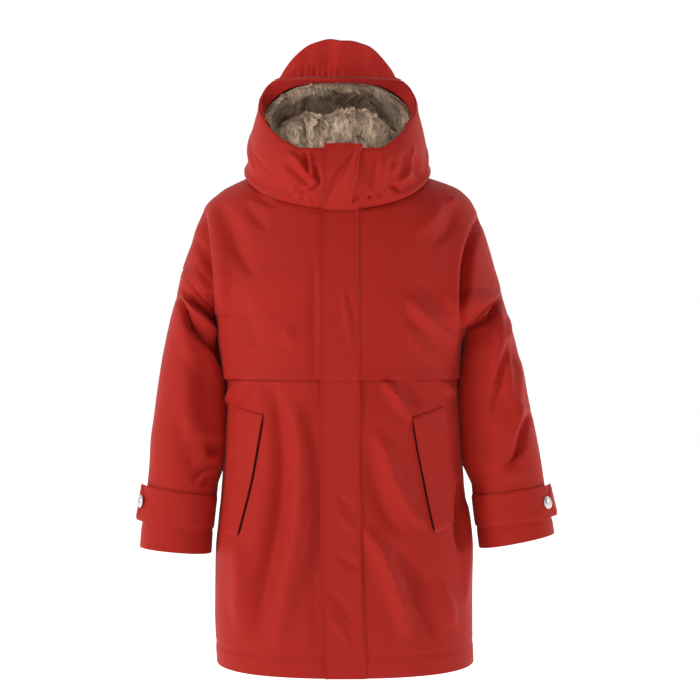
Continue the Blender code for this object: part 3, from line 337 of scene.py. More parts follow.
def trunk_half(side, z):
    """The half width of the body below the arms, which widens to the underarm."""
    half = follow(SIDES["level"], SIDES[side_name(side)], z)
    _, _, under_x, under_z = armhole(side)
    at_under = follow(SIDES["level"], SIDES[side_name(side)], under_z)
    return half + (under_x - at_under) * np.exp(-((z - under_z) / WEB) ** 2)


def section(face, z):
    """The depth and the roundness of a level section of one face of the body."""
    return (follow(SECTIONS["level"], SECTIONS["front" if face == FRONT else "back"], z),
            follow(SECTIONS["level"], SECTIONS["round"], z))


def half_width(side, face, z):
    """Where a level section ends. Between notch and underarm it runs on past the armhole seam."""
    notch_x, notch_z, under_x, under_z = armhole(side)
    swing = np.clip((notch_z - z) / (notch_z - under_z), 0, 1)
    seam_x = notch_x + (under_x - notch_x) * swing
    seam_y = 2 * ARMHOLE_DEPTH[face] * np.sqrt(swing * (1 - swing))
    depth, square = section(face, z)
    past_seam = seam_x / (1 - (seam_y / depth) ** square) ** (1 / square)
    shoulder = follow(SHOULDERS["level"], SHOULDERS[side_name(side)], z)
    above = np.where(z > notch_z, shoulder, past_seam)
    return np.where(z > under_z, above, trunk_half(side, z))


def body(x, z, face):
    """Points of the body's outer surface at x and z."""
    half = np.where(x < 0, half_width(RIGHT, face, z), half_width(LEFT, face, z))
    depth, square = section(face, z)
    away = np.clip(np.abs(x) / half, 0, 1)
    deep = depth * (1 - away ** square) ** (1 / square)
    return np.stack([x + 0 * z, face * (deep + SEAM / 2), z + 0 * x], -1)


def side_path(side, bottom, side_rows):
    """The body's edge in x and z: over the shoulder, down the armhole, down the side seam."""
    notch_x, notch_z, under_x, under_z = armhole(side)
    level = np.linspace(NECK_SIDE, notch_z, 200)
    reach = half_width(side, FRONT, level)
    length = np.concatenate([[0], np.cumsum(np.hypot(np.diff(level), np.diff(reach)))])
    ridge = np.interp(np.linspace(0, length[-1], RIDGE_ROWS + 1), length, level)
    turn = np.linspace(0, pi, ARMHOLE_ROWS + 1)[1:]
    swing = (1 - np.cos(turn)) / 2
    down = np.linspace(under_z, bottom, side_rows + 1)[1:]
    x = np.concatenate([
        half_width(side, FRONT, ridge), notch_x + (under_x - notch_x) * swing, trunk_half(side, down)])
    z = np.concatenate([ridge, notch_z + (under_z - notch_z) * swing, down])
    open_by = np.concatenate([0 * ridge, np.sin(turn), 0 * down])
    return x, z, pi / 2 - ARMHOLE_OPEN * open_by


def middle_path(side, top, bottom, side_rows):
    """The levels where the rows of side_path start, on the middle line."""
    _, notch_z, _, under_z = armhole(side)
    notch, under = notch_z + ROW_DROP, under_z - ROW_DROP
    return np.concatenate([
        np.linspace(top, notch, RIDGE_ROWS + 1),
        np.linspace(notch, under, ARMHOLE_ROWS + 1)[1:],
        np.linspace(under, bottom, side_rows + 1)[1:],
    ])


def along_row(share, middle, edge_x, edge_z, most=pi / 2):
    """x and z at a share of the way from the middle line to the edge, as a section's arc."""
    _, square = section(FRONT, edge_z)
    swing = (np.sin(most * share) / np.sin(most)) ** (2 / square)
    return edge_x * swing, middle + (edge_z - middle) * share ** DIP


def spread(side, middle, edge_x, edge_z, most):
    """x and z of rows of points from the middle line to the edge."""
    share = np.linspace(0, 1, MIDDLE_TO_SIDE + 1)
    x, z = along_row(share, middle[:, None], edge_x[:, None], edge_z[:, None], most[:, None])
    return side * np.maximum(x, SEAM / 2), z


def outward(grid, side):
    """The outward normals of a grid whose rows run down and whose columns run to that side."""
    return -normals_of(grid) * side


def yoke_grid(side):
    edge = side_path(side, YOKE_HEM, YOKE_SIDE_ROWS)
    middle = middle_path(side, NECK_FRONT, YOKE_HEM, YOKE_SIDE_ROWS)
    return body(*spread(side, middle, *edge), FRONT)


def tuck(z):
    """How far a lower front lies in from the body's surface: it goes under the yoke at its top."""
    return -(WALL + REST) * ease(TUCK_END, TUCK_TOP, z)


def front_grid(side):
    top = YOKE_HEM + YOKE_OVERLAP
    down = np.linspace(0, 1, SKIRT_ROWS + 1)
    edge_z = top + (HEM_SIDE - top) * down
    middle = top + (HEM_FRONT - top) * down
    x, z = spread(side, middle, trunk_half(side, edge_z), edge_z, 0 * edge_z + pi / 2)
    grid = body(x, z, FRONT)
    moved = grid + outward(grid, side) * tuck(z)[..., None]
    moved[:, 0, 0] = grid[:, 0, 0]
    moved[..., 1] = np.minimum(moved[..., 1], -SEAM / 2)
    return moved


def back_grid():
    """The back, from the wearer's left to the right."""
    halves = []
    for side in (RIGHT, LEFT):
        rows = YOKE_SIDE_ROWS + SKIRT_ROWS
        edge = side_path(side, HEM_SIDE, rows)
        middle = middle_path(RIGHT, NECK_BACK, HEM_BACK, rows)
        halves.append(body(*spread(side, middle, *edge), BACK))
    right, left = halves
    left[:, 0, 0] = right[:, 0, 0] = 0.0
    return np.concatenate([left[:, ::-1], right[:, 1:]], 1)


# ---- the sleeves ----------------------------------------------------------------------------

def sleeve(side, turn, along):
    """Points of a sleeve's outer surface at angles round it (0 outside, 90 front) and sections."""
    rows = SLEEVES[side]
    at = np.arange(len(rows["outer"]), dtype=float)
    read = {name: follow(at, rows[name], along) for name in rows}
    angle = np.radians(turn)
    cosine, sine = np.cos(angle), np.sin(angle)
    notch_x, notch_z, under_x, under_z = armhole(side)
    swing = (1 - cosine) / 2
    hole_x = side * (notch_x + (under_x - notch_x) * swing)
    hole_z = notch_z + (under_z - notch_z) * swing
    hole_y = np.where(sine >= 0, body(hole_x, hole_z, FRONT)[..., 1], body(hole_x, hole_z, BACK)[..., 1])
    hole_y = np.where(np.abs(sine) < 1e-6, 0.0, hole_y)
    round_x = np.sign(cosine) * np.abs(cosine) ** (2 / SLEEVE_SQUARE)
    round_y = np.sign(sine) * np.abs(sine) ** (2 / SLEEVE_SQUARE)
    grown = ease(0.0, 1.8, along)
    swing = (1 - cosine * (1 - grown) - round_x * grown) / 2
    x = side * (read["outer"] + (read["inner"] - read["outer"]) * swing)
    z = read["outer_z"] + (read["inner_z"] - read["outer_z"]) * swing
    middle = (read["back"] - read["front"]) / 2
    ring_y = middle - round_y * (read["back"] + read["front"]) / 2
    return np.stack([x, hole_y * (1 - grown) + ring_y * grown, z], -1)


def sleeve_grid(side):
    turn = np.linspace(0, 360, 2 * ARMHOLE_ROWS + 1)[:-1]
    along = np.linspace(0, len(SLEEVES[side]["outer"]) - 1, SLEEVE_RINGS + 1)
    return sleeve(side, *np.meshgrid(turn, along))


# ---- the hood -------------------------------------------------------------------------------

def neck_loop(turn):
    """The neck seam, by the angle from the middle of the front: plus is the wearer's left."""
    around = np.abs(turn)
    share = np.where(around <= 90, around, 180 - around) / 90
    middle = np.where(around <= 90, NECK_FRONT, NECK_BACK)
    edge = np.where(turn < 0, half_width(RIGHT, FRONT, NECK_SIDE), half_width(LEFT, FRONT, NECK_SIDE))
    x, z = along_row(share, middle, edge, NECK_SIDE)
    x = np.where(turn < 0, RIGHT, LEFT) * x
    return np.where((around <= 90)[..., None], body(x, z, FRONT), body(x, z, BACK))


def bent(start, start_pull, end_pull, end, share):
    """A cubic curve between two points, pulled by two others."""
    t = share[..., None]
    one = 1 - t
    return one ** 3 * start + 3 * one * one * t * start_pull + 3 * one * t * t * end_pull + t ** 3 * end


def drape(shape, turn, share, foot):
    """Points of a hood surface: turn round it, and the share of the way from foot to rim."""
    around = np.abs(turn)
    side = np.where(turn < 0, RIGHT, LEFT)
    shift = HOOD_MIDDLE * ease(0, 60, around)

    def three(name):
        x, y, z = (follow(shape["turn"], shape[name + end], around) for end in ("", "_y", "_z"))
        return np.stack([side * x, y, z], -1)

    rim = three("rim") + np.stack([shift, 0 * shift, 0 * shift], -1)
    return bent(foot, foot + three("low"), rim + three("high"), rim, share)


def hood(turn, share):
    return drape(HOOD, turn, share, neck_loop(turn))


def lining(turn, share):
    """The lining's back, which faces the shell."""
    foot = neck_loop(turn)
    foot = foot + inward_from(foot) * LINING_IN + np.array([0, 0, LINING_RISE])
    return drape(LINING, turn, share, foot)


def side_name(side):
    return "right" if side == RIGHT else "left"


def sew(*edges):
    """Gives the edges of several grids, which hold the same points, the same normals."""
    mean = unit(sum(normals[at] for normals, at in edges))
    for normals, at in edges:
        normals[at] = mean


def shell_pieces():
    """The grids and normals of body, sleeves and hood, with their shared seams sewn."""
    notch, under, across = RIDGE_ROWS, RIDGE_ROWS + ARMHOLE_ROWS, MIDDLE_TO_SIDE
    back = back_grid()
    back_normals = -normals_of(back)
    turns = np.linspace(-180, 180, 4 * MIDDLE_TO_SIDE + 1)
    middle = len(turns) // 2
    cap = hood(*np.meshgrid(turns, np.linspace(0, 1, HOOD_RISE + 1)))
    cap_normals = normals_of(cap)
    cap_normals[:, 0] = cap_normals[:, -1] = unit(cap_normals[:, 0] + cap_normals[:, -1])
    grids = {"back": (back, back_normals), "hood": (cap, cap_normals)}
    for side, edge in ((RIGHT, -1), (LEFT, 0)):
        name = side_name(side)
        yoke, front, arm = yoke_grid(side), front_grid(side), sleeve_grid(side)
        yoke_normals, arm_normals = outward(yoke, side), normals_of(arm, closed=True) * side
        grids[f"yoke_{name}"] = (yoke, yoke_normals)
        grids[f"front_{name}"] = (front, outward(front, side))
        grids[f"sleeve_{name}"] = (arm, arm_normals)
        shoulder = slice(1, notch)
        sew((yoke_normals, (shoulder, -1)), (back_normals, (shoulder, edge)))
        hole, before = slice(notch + 1, under), slice(1, ARMHOLE_ROWS)
        behind = slice(2 * ARMHOLE_ROWS - 1, ARMHOLE_ROWS, -1)
        sew((yoke_normals, (hole, -1)), (arm_normals, (0, before)))
        sew((back_normals, (hole, edge)), (arm_normals, (0, behind)))
        sew((yoke_normals, (notch, -1)), (back_normals, (notch, edge)), (arm_normals, (0, 0)))
        yoke_normals[under, -1] = back_normals[under, edge] = arm_normals[0, ARMHOLE_ROWS] = (0, 0, -1)
        sides = slice(under + 1, None)
        flat = yoke_normals[sides, -1]
        flat[:, 1] = 0
        yoke_normals[sides, -1] = unit(flat)
        arm[0] += SEAM * unit(arm[1] - arm[0])
        in_front = slice(middle, middle + side * across, side)
        sew((yoke_normals, (0, slice(0, across))), (cap_normals, (0, in_front)))
        corner = middle + side * across
        sew((yoke_normals, (0, -1)), (back_normals, (0, edge)), (cap_normals, (0, corner)))
    behind_left = slice(middle + across + 1, 2 * middle + 1)
    behind_right = slice(1, middle - across)
    sew((back_normals, (0, slice(1, across + 1))), (cap_normals, (0, behind_left)))
    sew((back_normals, (0, slice(across + 1, 2 * across))), (cap_normals, (0, behind_right)))
    cap_normals[0, 0] = cap_normals[0, -1]
    cap[0, :, 2] += 2 * SEAM
    return grids


def over_crown(grid, middle, strip):
    """The hood's columns from the seam on the wearer's left over the back to the one on the right."""
    return np.concatenate([grid[:, middle + strip:-1], grid[:, :middle - strip + 1]], 1)


def placket_edges(z):
    return [follow(PLACKET["level"], PLACKET[name], z)[..., None] for name in ("right", "left")]


def neck_level(x):
    """The level of the front neck seam at x."""
    turn = np.linspace(-60, 60, 121)
    seam = neck_loop(turn)
    return np.interp(x, seam[:, 0], seam[:, 2])


def placket_on_body(top, bottom, rows):
    """A stretch of the placket between two levels. One that starts at the neck follows its seam."""
    across = np.linspace(0, 1, PLACKET_COLUMNS + 1)
    down = np.linspace(0, 1, rows + 1)
    right, left = placket_edges(top + (bottom - top) * down)
    x = right + (left - right) * across
    start = neck_level(x) if top == NECK_FRONT else top
    return body(x, start + (bottom - start) * down[:, None], FRONT)


def placket_on_hood(rows):
    """The stretch on the hood's front, from a little above its rim down to the neck seam."""
    across = np.linspace(0, 1, PLACKET_COLUMNS + 1)
    turn = np.linspace(-40, 40, 81)
    lines = []
    for share in np.linspace(1, 0, rows + 1):
        line = hood(turn, share + 0 * turn)
        middle = np.interp(0, line[:, 0], line[:, 2])
        right, left = placket_edges(np.array(middle))
        x = right + (left - right) * across
        lines.append(np.stack([np.interp(x, line[:, 0], line[:, k]) for k in range(3)], -1))
    above = lines[0] + PLACKET_TOP * unit(lines[0] - lines[1])
    return np.array([above, *lines])


def strap_base(side):
    """The strap's points on the sleeve, from behind round the front to the tab's pointed end."""
    turn = np.linspace(STRAP_START, STRAP_END, STRAP_COLUMNS + 1)
    along = np.linspace(STRAP_TOP, STRAP_BOTTOM, STRAP_ROWS + 1)
    base = sleeve(side, *np.meshgrid(turn, along))
    ahead = unit(base[:, -1] - base[:, -2])
    middle = base[STRAP_ROWS // 2, -1]
    tip = middle + TAB_TIP * ahead[STRAP_ROWS // 2]
    shoulder = base[:, -1] + TAB_SHOULDER * TAB_TIP * ahead
    point = tip + TAB_BLUNT * (shoulder - shoulder[STRAP_ROWS // 2])
    return np.concatenate([base, shoulder[:, None], point[:, None]], 1)


def crown_turns():
    """The hood's columns over its centre strip, from the wearer's left to the right."""
    left = np.arange(STRIP_TURN, 180.0, HOOD_TURN)
    return np.concatenate([left, -np.arange(180.0, STRIP_TURN - 1, -HOOD_TURN)])


def visor_points():
    """The visor from its free edge down to the rim, from the wearer's left to the right."""
    turn = crown_turns()
    rim = hood(turn, 1 + 0 * turn)
    across = (rim[:, 0] - HOOD_MIDDLE) / VISOR_HALF
    tall = np.maximum(1 - np.abs(across) ** VISOR_ROUND, VISOR_LOW)
    share = np.linspace(1, 0, VISOR_ROWS + 1)[:, None]
    height = share * tall
    return rim + np.stack([0 * height, -VISOR_OUT * height, VISOR_UP * height], -1)


def lining_grid():
    """The lining from its front edge down to the neck, and its normals towards the shell."""
    turns = np.linspace(-180, 180, 4 * MIDDLE_TO_SIDE + 1)[:-1]
    grid = lining(*np.meshgrid(turns, np.linspace(1, 0, LINING_ROWS + 1)))
    return turns, grid, -normals_of(grid, closed=True)


def facing_grid():
    """The facing from just inside the shell's rim to just short of the lining's front edge."""
    turns = np.arange(FACING_TURN, 361 - FACING_TURN, HOOD_TURN)
    turns = np.where(turns > 180, turns - 360, turns)
    near_rim = hood(*np.meshgrid(turns, 1 - np.arange(3) / HOOD_RISE))
    rim = near_rim[0] + normals_of(near_rim)[0] * (WALL + 2 * SEAM)
    edge = lining(turns, 1 + 0 * turns)
    return rim + (edge - rim) * np.linspace(0, FACING_END, FACING_ROWS + 1)[:, None, None]


def fold_grid():
    """The fold of fur: up behind the chin along the lining, over its crest and down again."""
    turns, grid, normals = lining_grid()
    held = np.abs(turns) <= FOLD_TURN
    leg = (grid - normals * (FUR + 2 * SEAM))[FOLD_LEG::-1, held]
    turn = turns[held]
    crest, back, foot = (follow(FOLD["turn"], FOLD[name], turn) for name in ("crest_z", "back", "foot"))
    rim, inward = leg[-1], inward_from(leg[-1])

    def placed(reach, z):
        return rim * np.array([1, 1, 0]) + inward * (reach * back)[:, None] + np.stack([0 * z, 0 * z, z], -1)

    rising = rim[:, 2] + (crest - rim[:, 2]) * FOLD_SHOULDER
    falling = foot + (crest - foot) * FOLD_SHOULDER
    levels = (rising, crest, falling, foot)
    knots = np.array([rim, *(placed(reach, z) for reach, z in zip(FOLD_REACH, levels))])
    steps = np.arange(len(knots), dtype=float)
    rows = np.linspace(0, steps[-1], FOLD_CREST_ROWS + 1)[1:]
    over = np.empty((len(rows), len(turn), 3))
    for column in range(len(turn)):
        for k in range(3):
            over[:, column, k] = follow(steps, knots[:, column, k], rows)
    return np.concatenate([leg, over])


def inward_from(points):
    """Level directions towards the hood's upright middle line."""
    away = (np.array([HOOD_MIDDLE, HOOD_MIDDLE_Y, 0.0]) - points) * np.array([1, 1, 0])
    return unit(away)


# ---- creases ----------------------------------------------------------------------------------

# Where the coat is drawn: the camera, and the plane in front of the chest that the creases are placed in
CAMERA_DISTANCE = 2.6
CAMERA_X, CAMERA_Z = 0.011, -0.2277
CREASE_PLANE = CAMERA_DISTANCE - 0.11

# Each crease: its height (a trough is below 0), its width, how much steeper its left side is than its
# right, and points on its line. On the front they are x and z in the crease plane, seen from the camera.
BODY_CREASES = {
    FRONT: (
        (-0.0072, 0.0110, 1.0, -0.160, -0.036, -0.146, -0.070, -0.134, -0.100, -0.120, -0.124),
        (+0.0048, 0.0110, 1.0, -0.172, -0.045, -0.166, -0.080, -0.160, -0.120, -0.157, -0.170),
        (-0.0042, 0.0075, 1.0, -0.128, -0.034, -0.115, -0.050, -0.100, -0.066),
        (-0.0035, 0.0045, 1.0, -0.120, -0.021, -0.105, -0.027, -0.088, -0.036),
        (-0.0136, 0.0060, 2.0, -0.185, -0.040, -0.178, -0.075, -0.175, -0.120, -0.173, -0.160, -0.168,
         -0.200),
        (-0.0038, 0.0050, 1.0, -0.192, -0.080, -0.184, -0.100, -0.178, -0.118),
        (-0.0032, 0.0050, 1.0, -0.190, -0.120, -0.183, -0.133, -0.177, -0.150),
        (+0.0058, 0.0130, 1.0, -0.157, -0.150, -0.154, -0.200, -0.150, -0.262),
        (-0.0038, 0.0110, 1.0, -0.130, -0.165, -0.122, -0.195, -0.112, -0.225),
        (+0.0026, 0.0090, 1.0, -0.074, -0.195, -0.064, -0.225),
        (-0.0026, 0.0070, 1.6, -0.036, -0.110, -0.035, -0.200, -0.034, -0.262),
        (+0.0050, 0.0085, 1.8, +0.179, -0.052, +0.169, -0.076, +0.161, -0.100, +0.155, -0.130, +0.152, -0.170,
         +0.149, -0.215, +0.148, -0.250),
        (-0.0170, 0.0062, 1.2, +0.186, -0.048, +0.176, -0.070, +0.168, -0.098, +0.164, -0.125, +0.162, -0.160,
         +0.160, -0.192),
        (+0.0069, 0.0095, 1.3, +0.088, -0.158, +0.107, -0.177, +0.127, -0.197, +0.141, -0.209, +0.151,
         -0.214),
        (-0.0040, 0.0110, 1.0, +0.100, -0.140, +0.124, -0.158, +0.146, -0.182),
        (-0.0030, 0.0100, 1.0, +0.084, -0.176, +0.104, -0.200, +0.124, -0.226),
        (+0.0028, 0.0090, 1.0, +0.084, -0.196, +0.106, -0.222, +0.122, -0.246),
        (+0.0054, 0.0090, 1.0, +0.132, -0.032, +0.118, -0.056, +0.096, -0.074),
        (-0.0045, 0.0090, 1.0, +0.150, -0.036, +0.142, -0.064, +0.122, -0.088),
        (+0.0038, 0.0050, 1.0, +0.150, -0.024, +0.143, -0.036),
        (+0.0064, 0.0045, 1.4, -0.135, -0.270, -0.143, -0.283, -0.155, -0.300),
        (-0.0035, 0.0060, 1.0, -0.122, -0.270, -0.132, -0.290),
        (+0.0032, 0.0080, 1.0, -0.110, -0.270, -0.110, -0.305),
        (-0.0144, 0.0140, 1.0, -0.088, -0.285, -0.082, -0.330, -0.078, -0.380, -0.081, -0.430, -0.092, -0.490,
         -0.105, -0.550, -0.115, -0.600),
        (+0.0136, 0.0150, 1.0, -0.060, -0.310, -0.053, -0.380, -0.054, -0.440, -0.063, -0.500, -0.074, -0.560,
         -0.086, -0.610),
        (+0.0072, 0.0120, 1.0, -0.140, -0.480, -0.135, -0.530, -0.137, -0.590),
        (-0.0038, 0.0070, 1.6, -0.036, -0.300, -0.035, -0.400, -0.034, -0.480, -0.034, -0.560, -0.032,
         -0.630),
        (+0.0090, 0.0065, 1.3, +0.056, -0.268, +0.070, -0.284, +0.082, -0.303, +0.091, -0.318),
        (-0.0054, 0.0075, 1.0, +0.074, -0.268, +0.092, -0.286, +0.104, -0.300),
        (+0.0061, 0.0065, 1.0, +0.133, -0.270, +0.148, -0.288),
        (+0.0112, 0.0095, 1.2, +0.048, -0.338, +0.059, -0.363, +0.068, -0.393, +0.079, -0.417, +0.092, -0.441,
         +0.108, -0.458),
        (-0.0064, 0.0120, 1.0, +0.038, -0.370, +0.048, -0.410, +0.062, -0.446, +0.082, -0.472),
        (+0.0136, 0.0105, 1.2, +0.033, -0.466, +0.047, -0.484, +0.060, -0.508, +0.071, -0.538, +0.080, -0.568,
         +0.084, -0.602),
        (-0.0112, 0.0130, 1.0, +0.074, -0.490, +0.092, -0.528, +0.107, -0.566, +0.124, -0.602),
        (+0.0048, 0.0100, 1.0, +0.104, -0.540, +0.120, -0.575, +0.131, -0.604),
        (+0.0064, 0.0070, 1.3, +0.134, -0.538, +0.143, -0.562, +0.149, -0.592),
        (-0.0144, 0.0060, 1.0, +0.157, -0.400, +0.156, -0.440, +0.156, -0.490),
        (+0.0064, 0.0060, 1.0, +0.164, -0.430, +0.165, -0.500, +0.164, -0.560),
    ),
    BACK: (
        (-0.0063, 0.0110, 1.2, -0.165, -0.060, -0.147, -0.095, -0.120, -0.130),
        (+0.0040, 0.0110, 1.0, -0.145, -0.045, -0.122, -0.080, -0.100, -0.110),
        (-0.0063, 0.0110, 1.2, +0.160, -0.065, +0.146, -0.110, +0.125, -0.150),
        (+0.0042, 0.0110, 1.0, +0.140, -0.050, +0.118, -0.090, +0.095, -0.120),
        (-0.0100, 0.0080, 1.3, -0.176, -0.060, -0.170, -0.110, -0.166, -0.170),
        (-0.0110, 0.0080, 1.3, +0.174, -0.060, +0.168, -0.120, +0.163, -0.185),
        (+0.0065, 0.0120, 1.3, -0.148, -0.190, -0.110, -0.222, -0.070, -0.240),
        (-0.0052, 0.0130, 1.0, -0.135, -0.215, -0.095, -0.250, -0.050, -0.268),
        (+0.0063, 0.0120, 1.3, +0.146, -0.200, +0.112, -0.238, +0.080, -0.260),
        (-0.0052, 0.0130, 1.0, +0.130, -0.230, +0.094, -0.266, +0.060, -0.288),
        (+0.0032, 0.0150, 1.0, -0.050, -0.070, -0.036, -0.130, -0.030, -0.190),
        (-0.0028, 0.0150, 1.0, +0.045, -0.065, +0.030, -0.120, +0.020, -0.170),
        (+0.0050, 0.0120, 1.2, -0.130, -0.330, -0.108, -0.380, -0.090, -0.430),
        (+0.0075, 0.0140, 1.1, -0.108, -0.430, -0.122, -0.520, -0.130, -0.620),
        (-0.0081, 0.0140, 1.0, -0.070, -0.400, -0.073, -0.520, -0.083, -0.640),
        (+0.0075, 0.0150, 1.0, -0.030, -0.350, -0.040, -0.480, -0.036, -0.630),
        (-0.0069, 0.0140, 1.0, +0.015, -0.400, +0.021, -0.520, +0.020, -0.645),
        (+0.0081, 0.0150, 1.1, +0.065, -0.350, +0.071, -0.470, +0.086, -0.620),
        (-0.0075, 0.0130, 1.0, +0.108, -0.400, +0.117, -0.510, +0.116, -0.630),
        (+0.0069, 0.0120, 1.0, +0.138, -0.450, +0.142, -0.530, +0.146, -0.610),
        (-0.0050, 0.0120, 1.0, +0.135, -0.310, +0.118, -0.350, +0.095, -0.390),
    ),
}

SLEEVE_FRONT_CREASES = {
    RIGHT: (
        (-0.0190, 0.0048, 1.3, -0.217, -0.158, -0.207, -0.175, -0.196, -0.194, -0.182, -0.214, -0.168,
         -0.234),
        (-0.0130, 0.0050, 1.0, -0.200, -0.154, -0.188, -0.168, -0.175, -0.183, -0.169, -0.196),
        (+0.0075, 0.0045, 1.0, -0.209, -0.158, -0.196, -0.176, -0.184, -0.194, -0.172, -0.212),
        (-0.0045, 0.0035, 1.0, -0.212, -0.144, -0.203, -0.158, -0.196, -0.170),
        (-0.0090, 0.0070, 1.0, -0.172, -0.200, -0.167, -0.222, -0.165, -0.250),
        (+0.0045, 0.0110, 1.0, -0.214, -0.190, -0.204, -0.215, -0.198, -0.240),
        (-0.0060, 0.0120, 1.0, -0.184, -0.240, -0.180, -0.290, -0.180, -0.335),
        (+0.0045, 0.0120, 1.0, -0.206, -0.250, -0.204, -0.310, -0.206, -0.370),
        (-0.0090, 0.0065, 1.0, -0.166, -0.345, -0.172, -0.352, -0.178, -0.366),
        (-0.0060, 0.0050, 1.0, -0.196, -0.402, -0.186, -0.388, -0.174, -0.378),
        (-0.0054, 0.0040, 1.0, -0.186, -0.406, -0.177, -0.396, -0.170, -0.390),
        (+0.0051, 0.0045, 1.0, -0.192, -0.404, -0.182, -0.391, -0.172, -0.383),
        (-0.0054, 0.0120, 1.0, -0.214, -0.320, -0.206, -0.350, -0.198, -0.385),
    ),
    LEFT: (
        (-0.0120, 0.0070, 1.0, +0.166, -0.165, +0.163, -0.180, +0.159, -0.204),
        (-0.0190, 0.0046, 1.0, +0.203, -0.158, +0.190, -0.167, +0.178, -0.180, +0.164, -0.199),
        (-0.0140, 0.0050, 1.0, +0.211, -0.146, +0.205, -0.166, +0.192, -0.184, +0.176, -0.199),
        (+0.0075, 0.0035, 1.0, +0.205, -0.158, +0.191, -0.176, +0.170, -0.198),
        (+0.0090, 0.0080, 1.0, +0.208, -0.176, +0.209, -0.205, +0.206, -0.240, +0.201, -0.285),
        (-0.0090, 0.0062, 1.0, +0.220, -0.212, +0.213, -0.240, +0.207, -0.275, +0.202, -0.310),
        (+0.0075, 0.0060, 1.0, +0.219, -0.186, +0.220, -0.210, +0.219, -0.250, +0.223, -0.300),
        (-0.0060, 0.0060, 1.0, +0.228, -0.200, +0.226, -0.225, +0.230, -0.262),
        (+0.0060, 0.0070, 1.0, +0.233, -0.240, +0.233, -0.280, +0.231, -0.320),
        (-0.0110, 0.0060, 1.4, +0.250, -0.310, +0.241, -0.335, +0.235, -0.360, +0.221, -0.380),
        (+0.0075, 0.0070, 1.0, +0.238, -0.300, +0.230, -0.330, +0.222, -0.358),
        (+0.0045, 0.0080, 1.0, +0.216, -0.385, +0.224, -0.392, +0.236, -0.392),
        (-0.0045, 0.0140, 1.0, +0.192, -0.230, +0.190, -0.300, +0.194, -0.370),
    ),
}

# On the backs of the sleeves: by turn round the sleeve and section along it
SLEEVE_BACK_CREASES = {
    RIGHT: (
        (-0.0090, 0.0060, 1.6, 300., 0.90, 268., 1.50, 230., 2.30),
        (+0.0050, 0.0080, 1.2, 304., 1.50, 270., 2.10, 240., 2.90),
        (-0.0050, 0.0090, 1.2, 246., 3.40, 266., 4.30, 292., 5.00),
        (-0.0065, 0.0070, 1.3, 226., 5.60, 250., 6.50, 284., 7.10),
        (+0.0045, 0.0070, 1.0, 232., 6.30, 254., 7.00, 280., 7.40),
        (-0.0040, 0.0070, 1.0, 196., 2.20, 206., 3.40, 214., 4.60),
    ),
    LEFT: (
        (-0.0090, 0.0060, 1.6, 298., 0.80, 266., 1.30, 228., 2.10),
        (+0.0050, 0.0080, 1.2, 306., 1.40, 270., 2.00, 236., 2.80),
        (-0.0050, 0.0090, 1.2, 240., 3.20, 258., 4.20, 286., 4.90),
        (-0.0065, 0.0070, 1.3, 222., 5.30, 250., 6.20, 284., 6.80),
        (+0.0045, 0.0070, 1.0, 236., 6.00, 258., 6.70, 282., 7.20),
        (-0.0040, 0.0070, 1.0, 196., 2.40, 204., 3.40, 216., 4.80),
    ),
}

HOOD_FRONT_CREASES = (
    (-0.0050, 0.0030, 1.0, -0.0480, +0.034, -0.0462, +0.020, -0.0440, +0.007),
    (+0.0040, 0.0030, 1.0, -0.0415, +0.033, -0.0400, +0.016, -0.0370, +0.003),
    (-0.0060, 0.0032, 1.0, -0.0360, +0.020, -0.0340, +0.006, -0.0300, -0.004, -0.0315, -0.010),
    (-0.0045, 0.0060, 1.0, -0.0740, +0.018, -0.0600, +0.007, -0.0500, -0.002, -0.0420, -0.009),
    (+0.0050, 0.0055, 1.0, -0.0640, +0.031, -0.0520, +0.014, -0.0400, -0.002),
    (-0.0040, 0.0026, 1.0, -0.0430, -0.015, -0.0350, -0.013, -0.0290, -0.005),
    (+0.0026, 0.0040, 1.0, -0.0710, +0.030, -0.0630, +0.029),
    (-0.0016, 0.0024, 1.0, -0.1180, +0.035, -0.1050, +0.018, -0.0920, +0.002),
    (-0.0036, 0.0060, 1.0, +0.0480, +0.028, +0.0430, +0.006, +0.0380, -0.012),
    (+0.0026, 0.0090, 1.0, +0.0580, +0.026, +0.0530, +0.006, +0.0480, -0.014),
    (-0.0024, 0.0080, 1.0, +0.0680, +0.024, +0.0640, +0.004, +0.0580, -0.010),
    (+0.0030, 0.0050, 1.0, +0.0700, +0.018, +0.0680, +0.004),
    (-0.0040, 0.0050, 1.0, +0.0830, +0.032, +0.0820, +0.016, +0.0760, +0.002),
    (+0.0040, 0.0040, 1.0, +0.0950, +0.040, +0.0930, +0.018, +0.0860, +0.002, +0.0760, -0.006),
    (-0.0060, 0.0060, 1.0, +0.0960, +0.030, +0.0990, +0.012, +0.1010, +0.000),
    (-0.0040, 0.0035, 1.0, +0.0600, -0.008, +0.0700, -0.014, +0.0760, -0.016),
)
PUCKERS = (     # small bumps where the hood is gathered into the neck: x, z, radius, height
    (-0.0630, -0.0150, 0.0040, +0.0030), (-0.0560, -0.0240, 0.0040, +0.0030), (-0.0430, -0.0300, 0.0030,
     +0.0024),
    (-0.0500, -0.0180, 0.0030, -0.0020), (-0.0690, -0.0220, 0.0030, -0.0020), (+0.0370, -0.0260, 0.0022,
     -0.0050),
    (+0.0430, -0.0300, 0.0040, +0.0030), (+0.0280, -0.0270, 0.0035, +0.0020), (+0.0500, -0.0220, 0.0030,
     -0.0026),
    (+0.0580, -0.0180, 0.0035, +0.0022), (+0.0700, -0.0140, 0.0030, -0.0026),
)

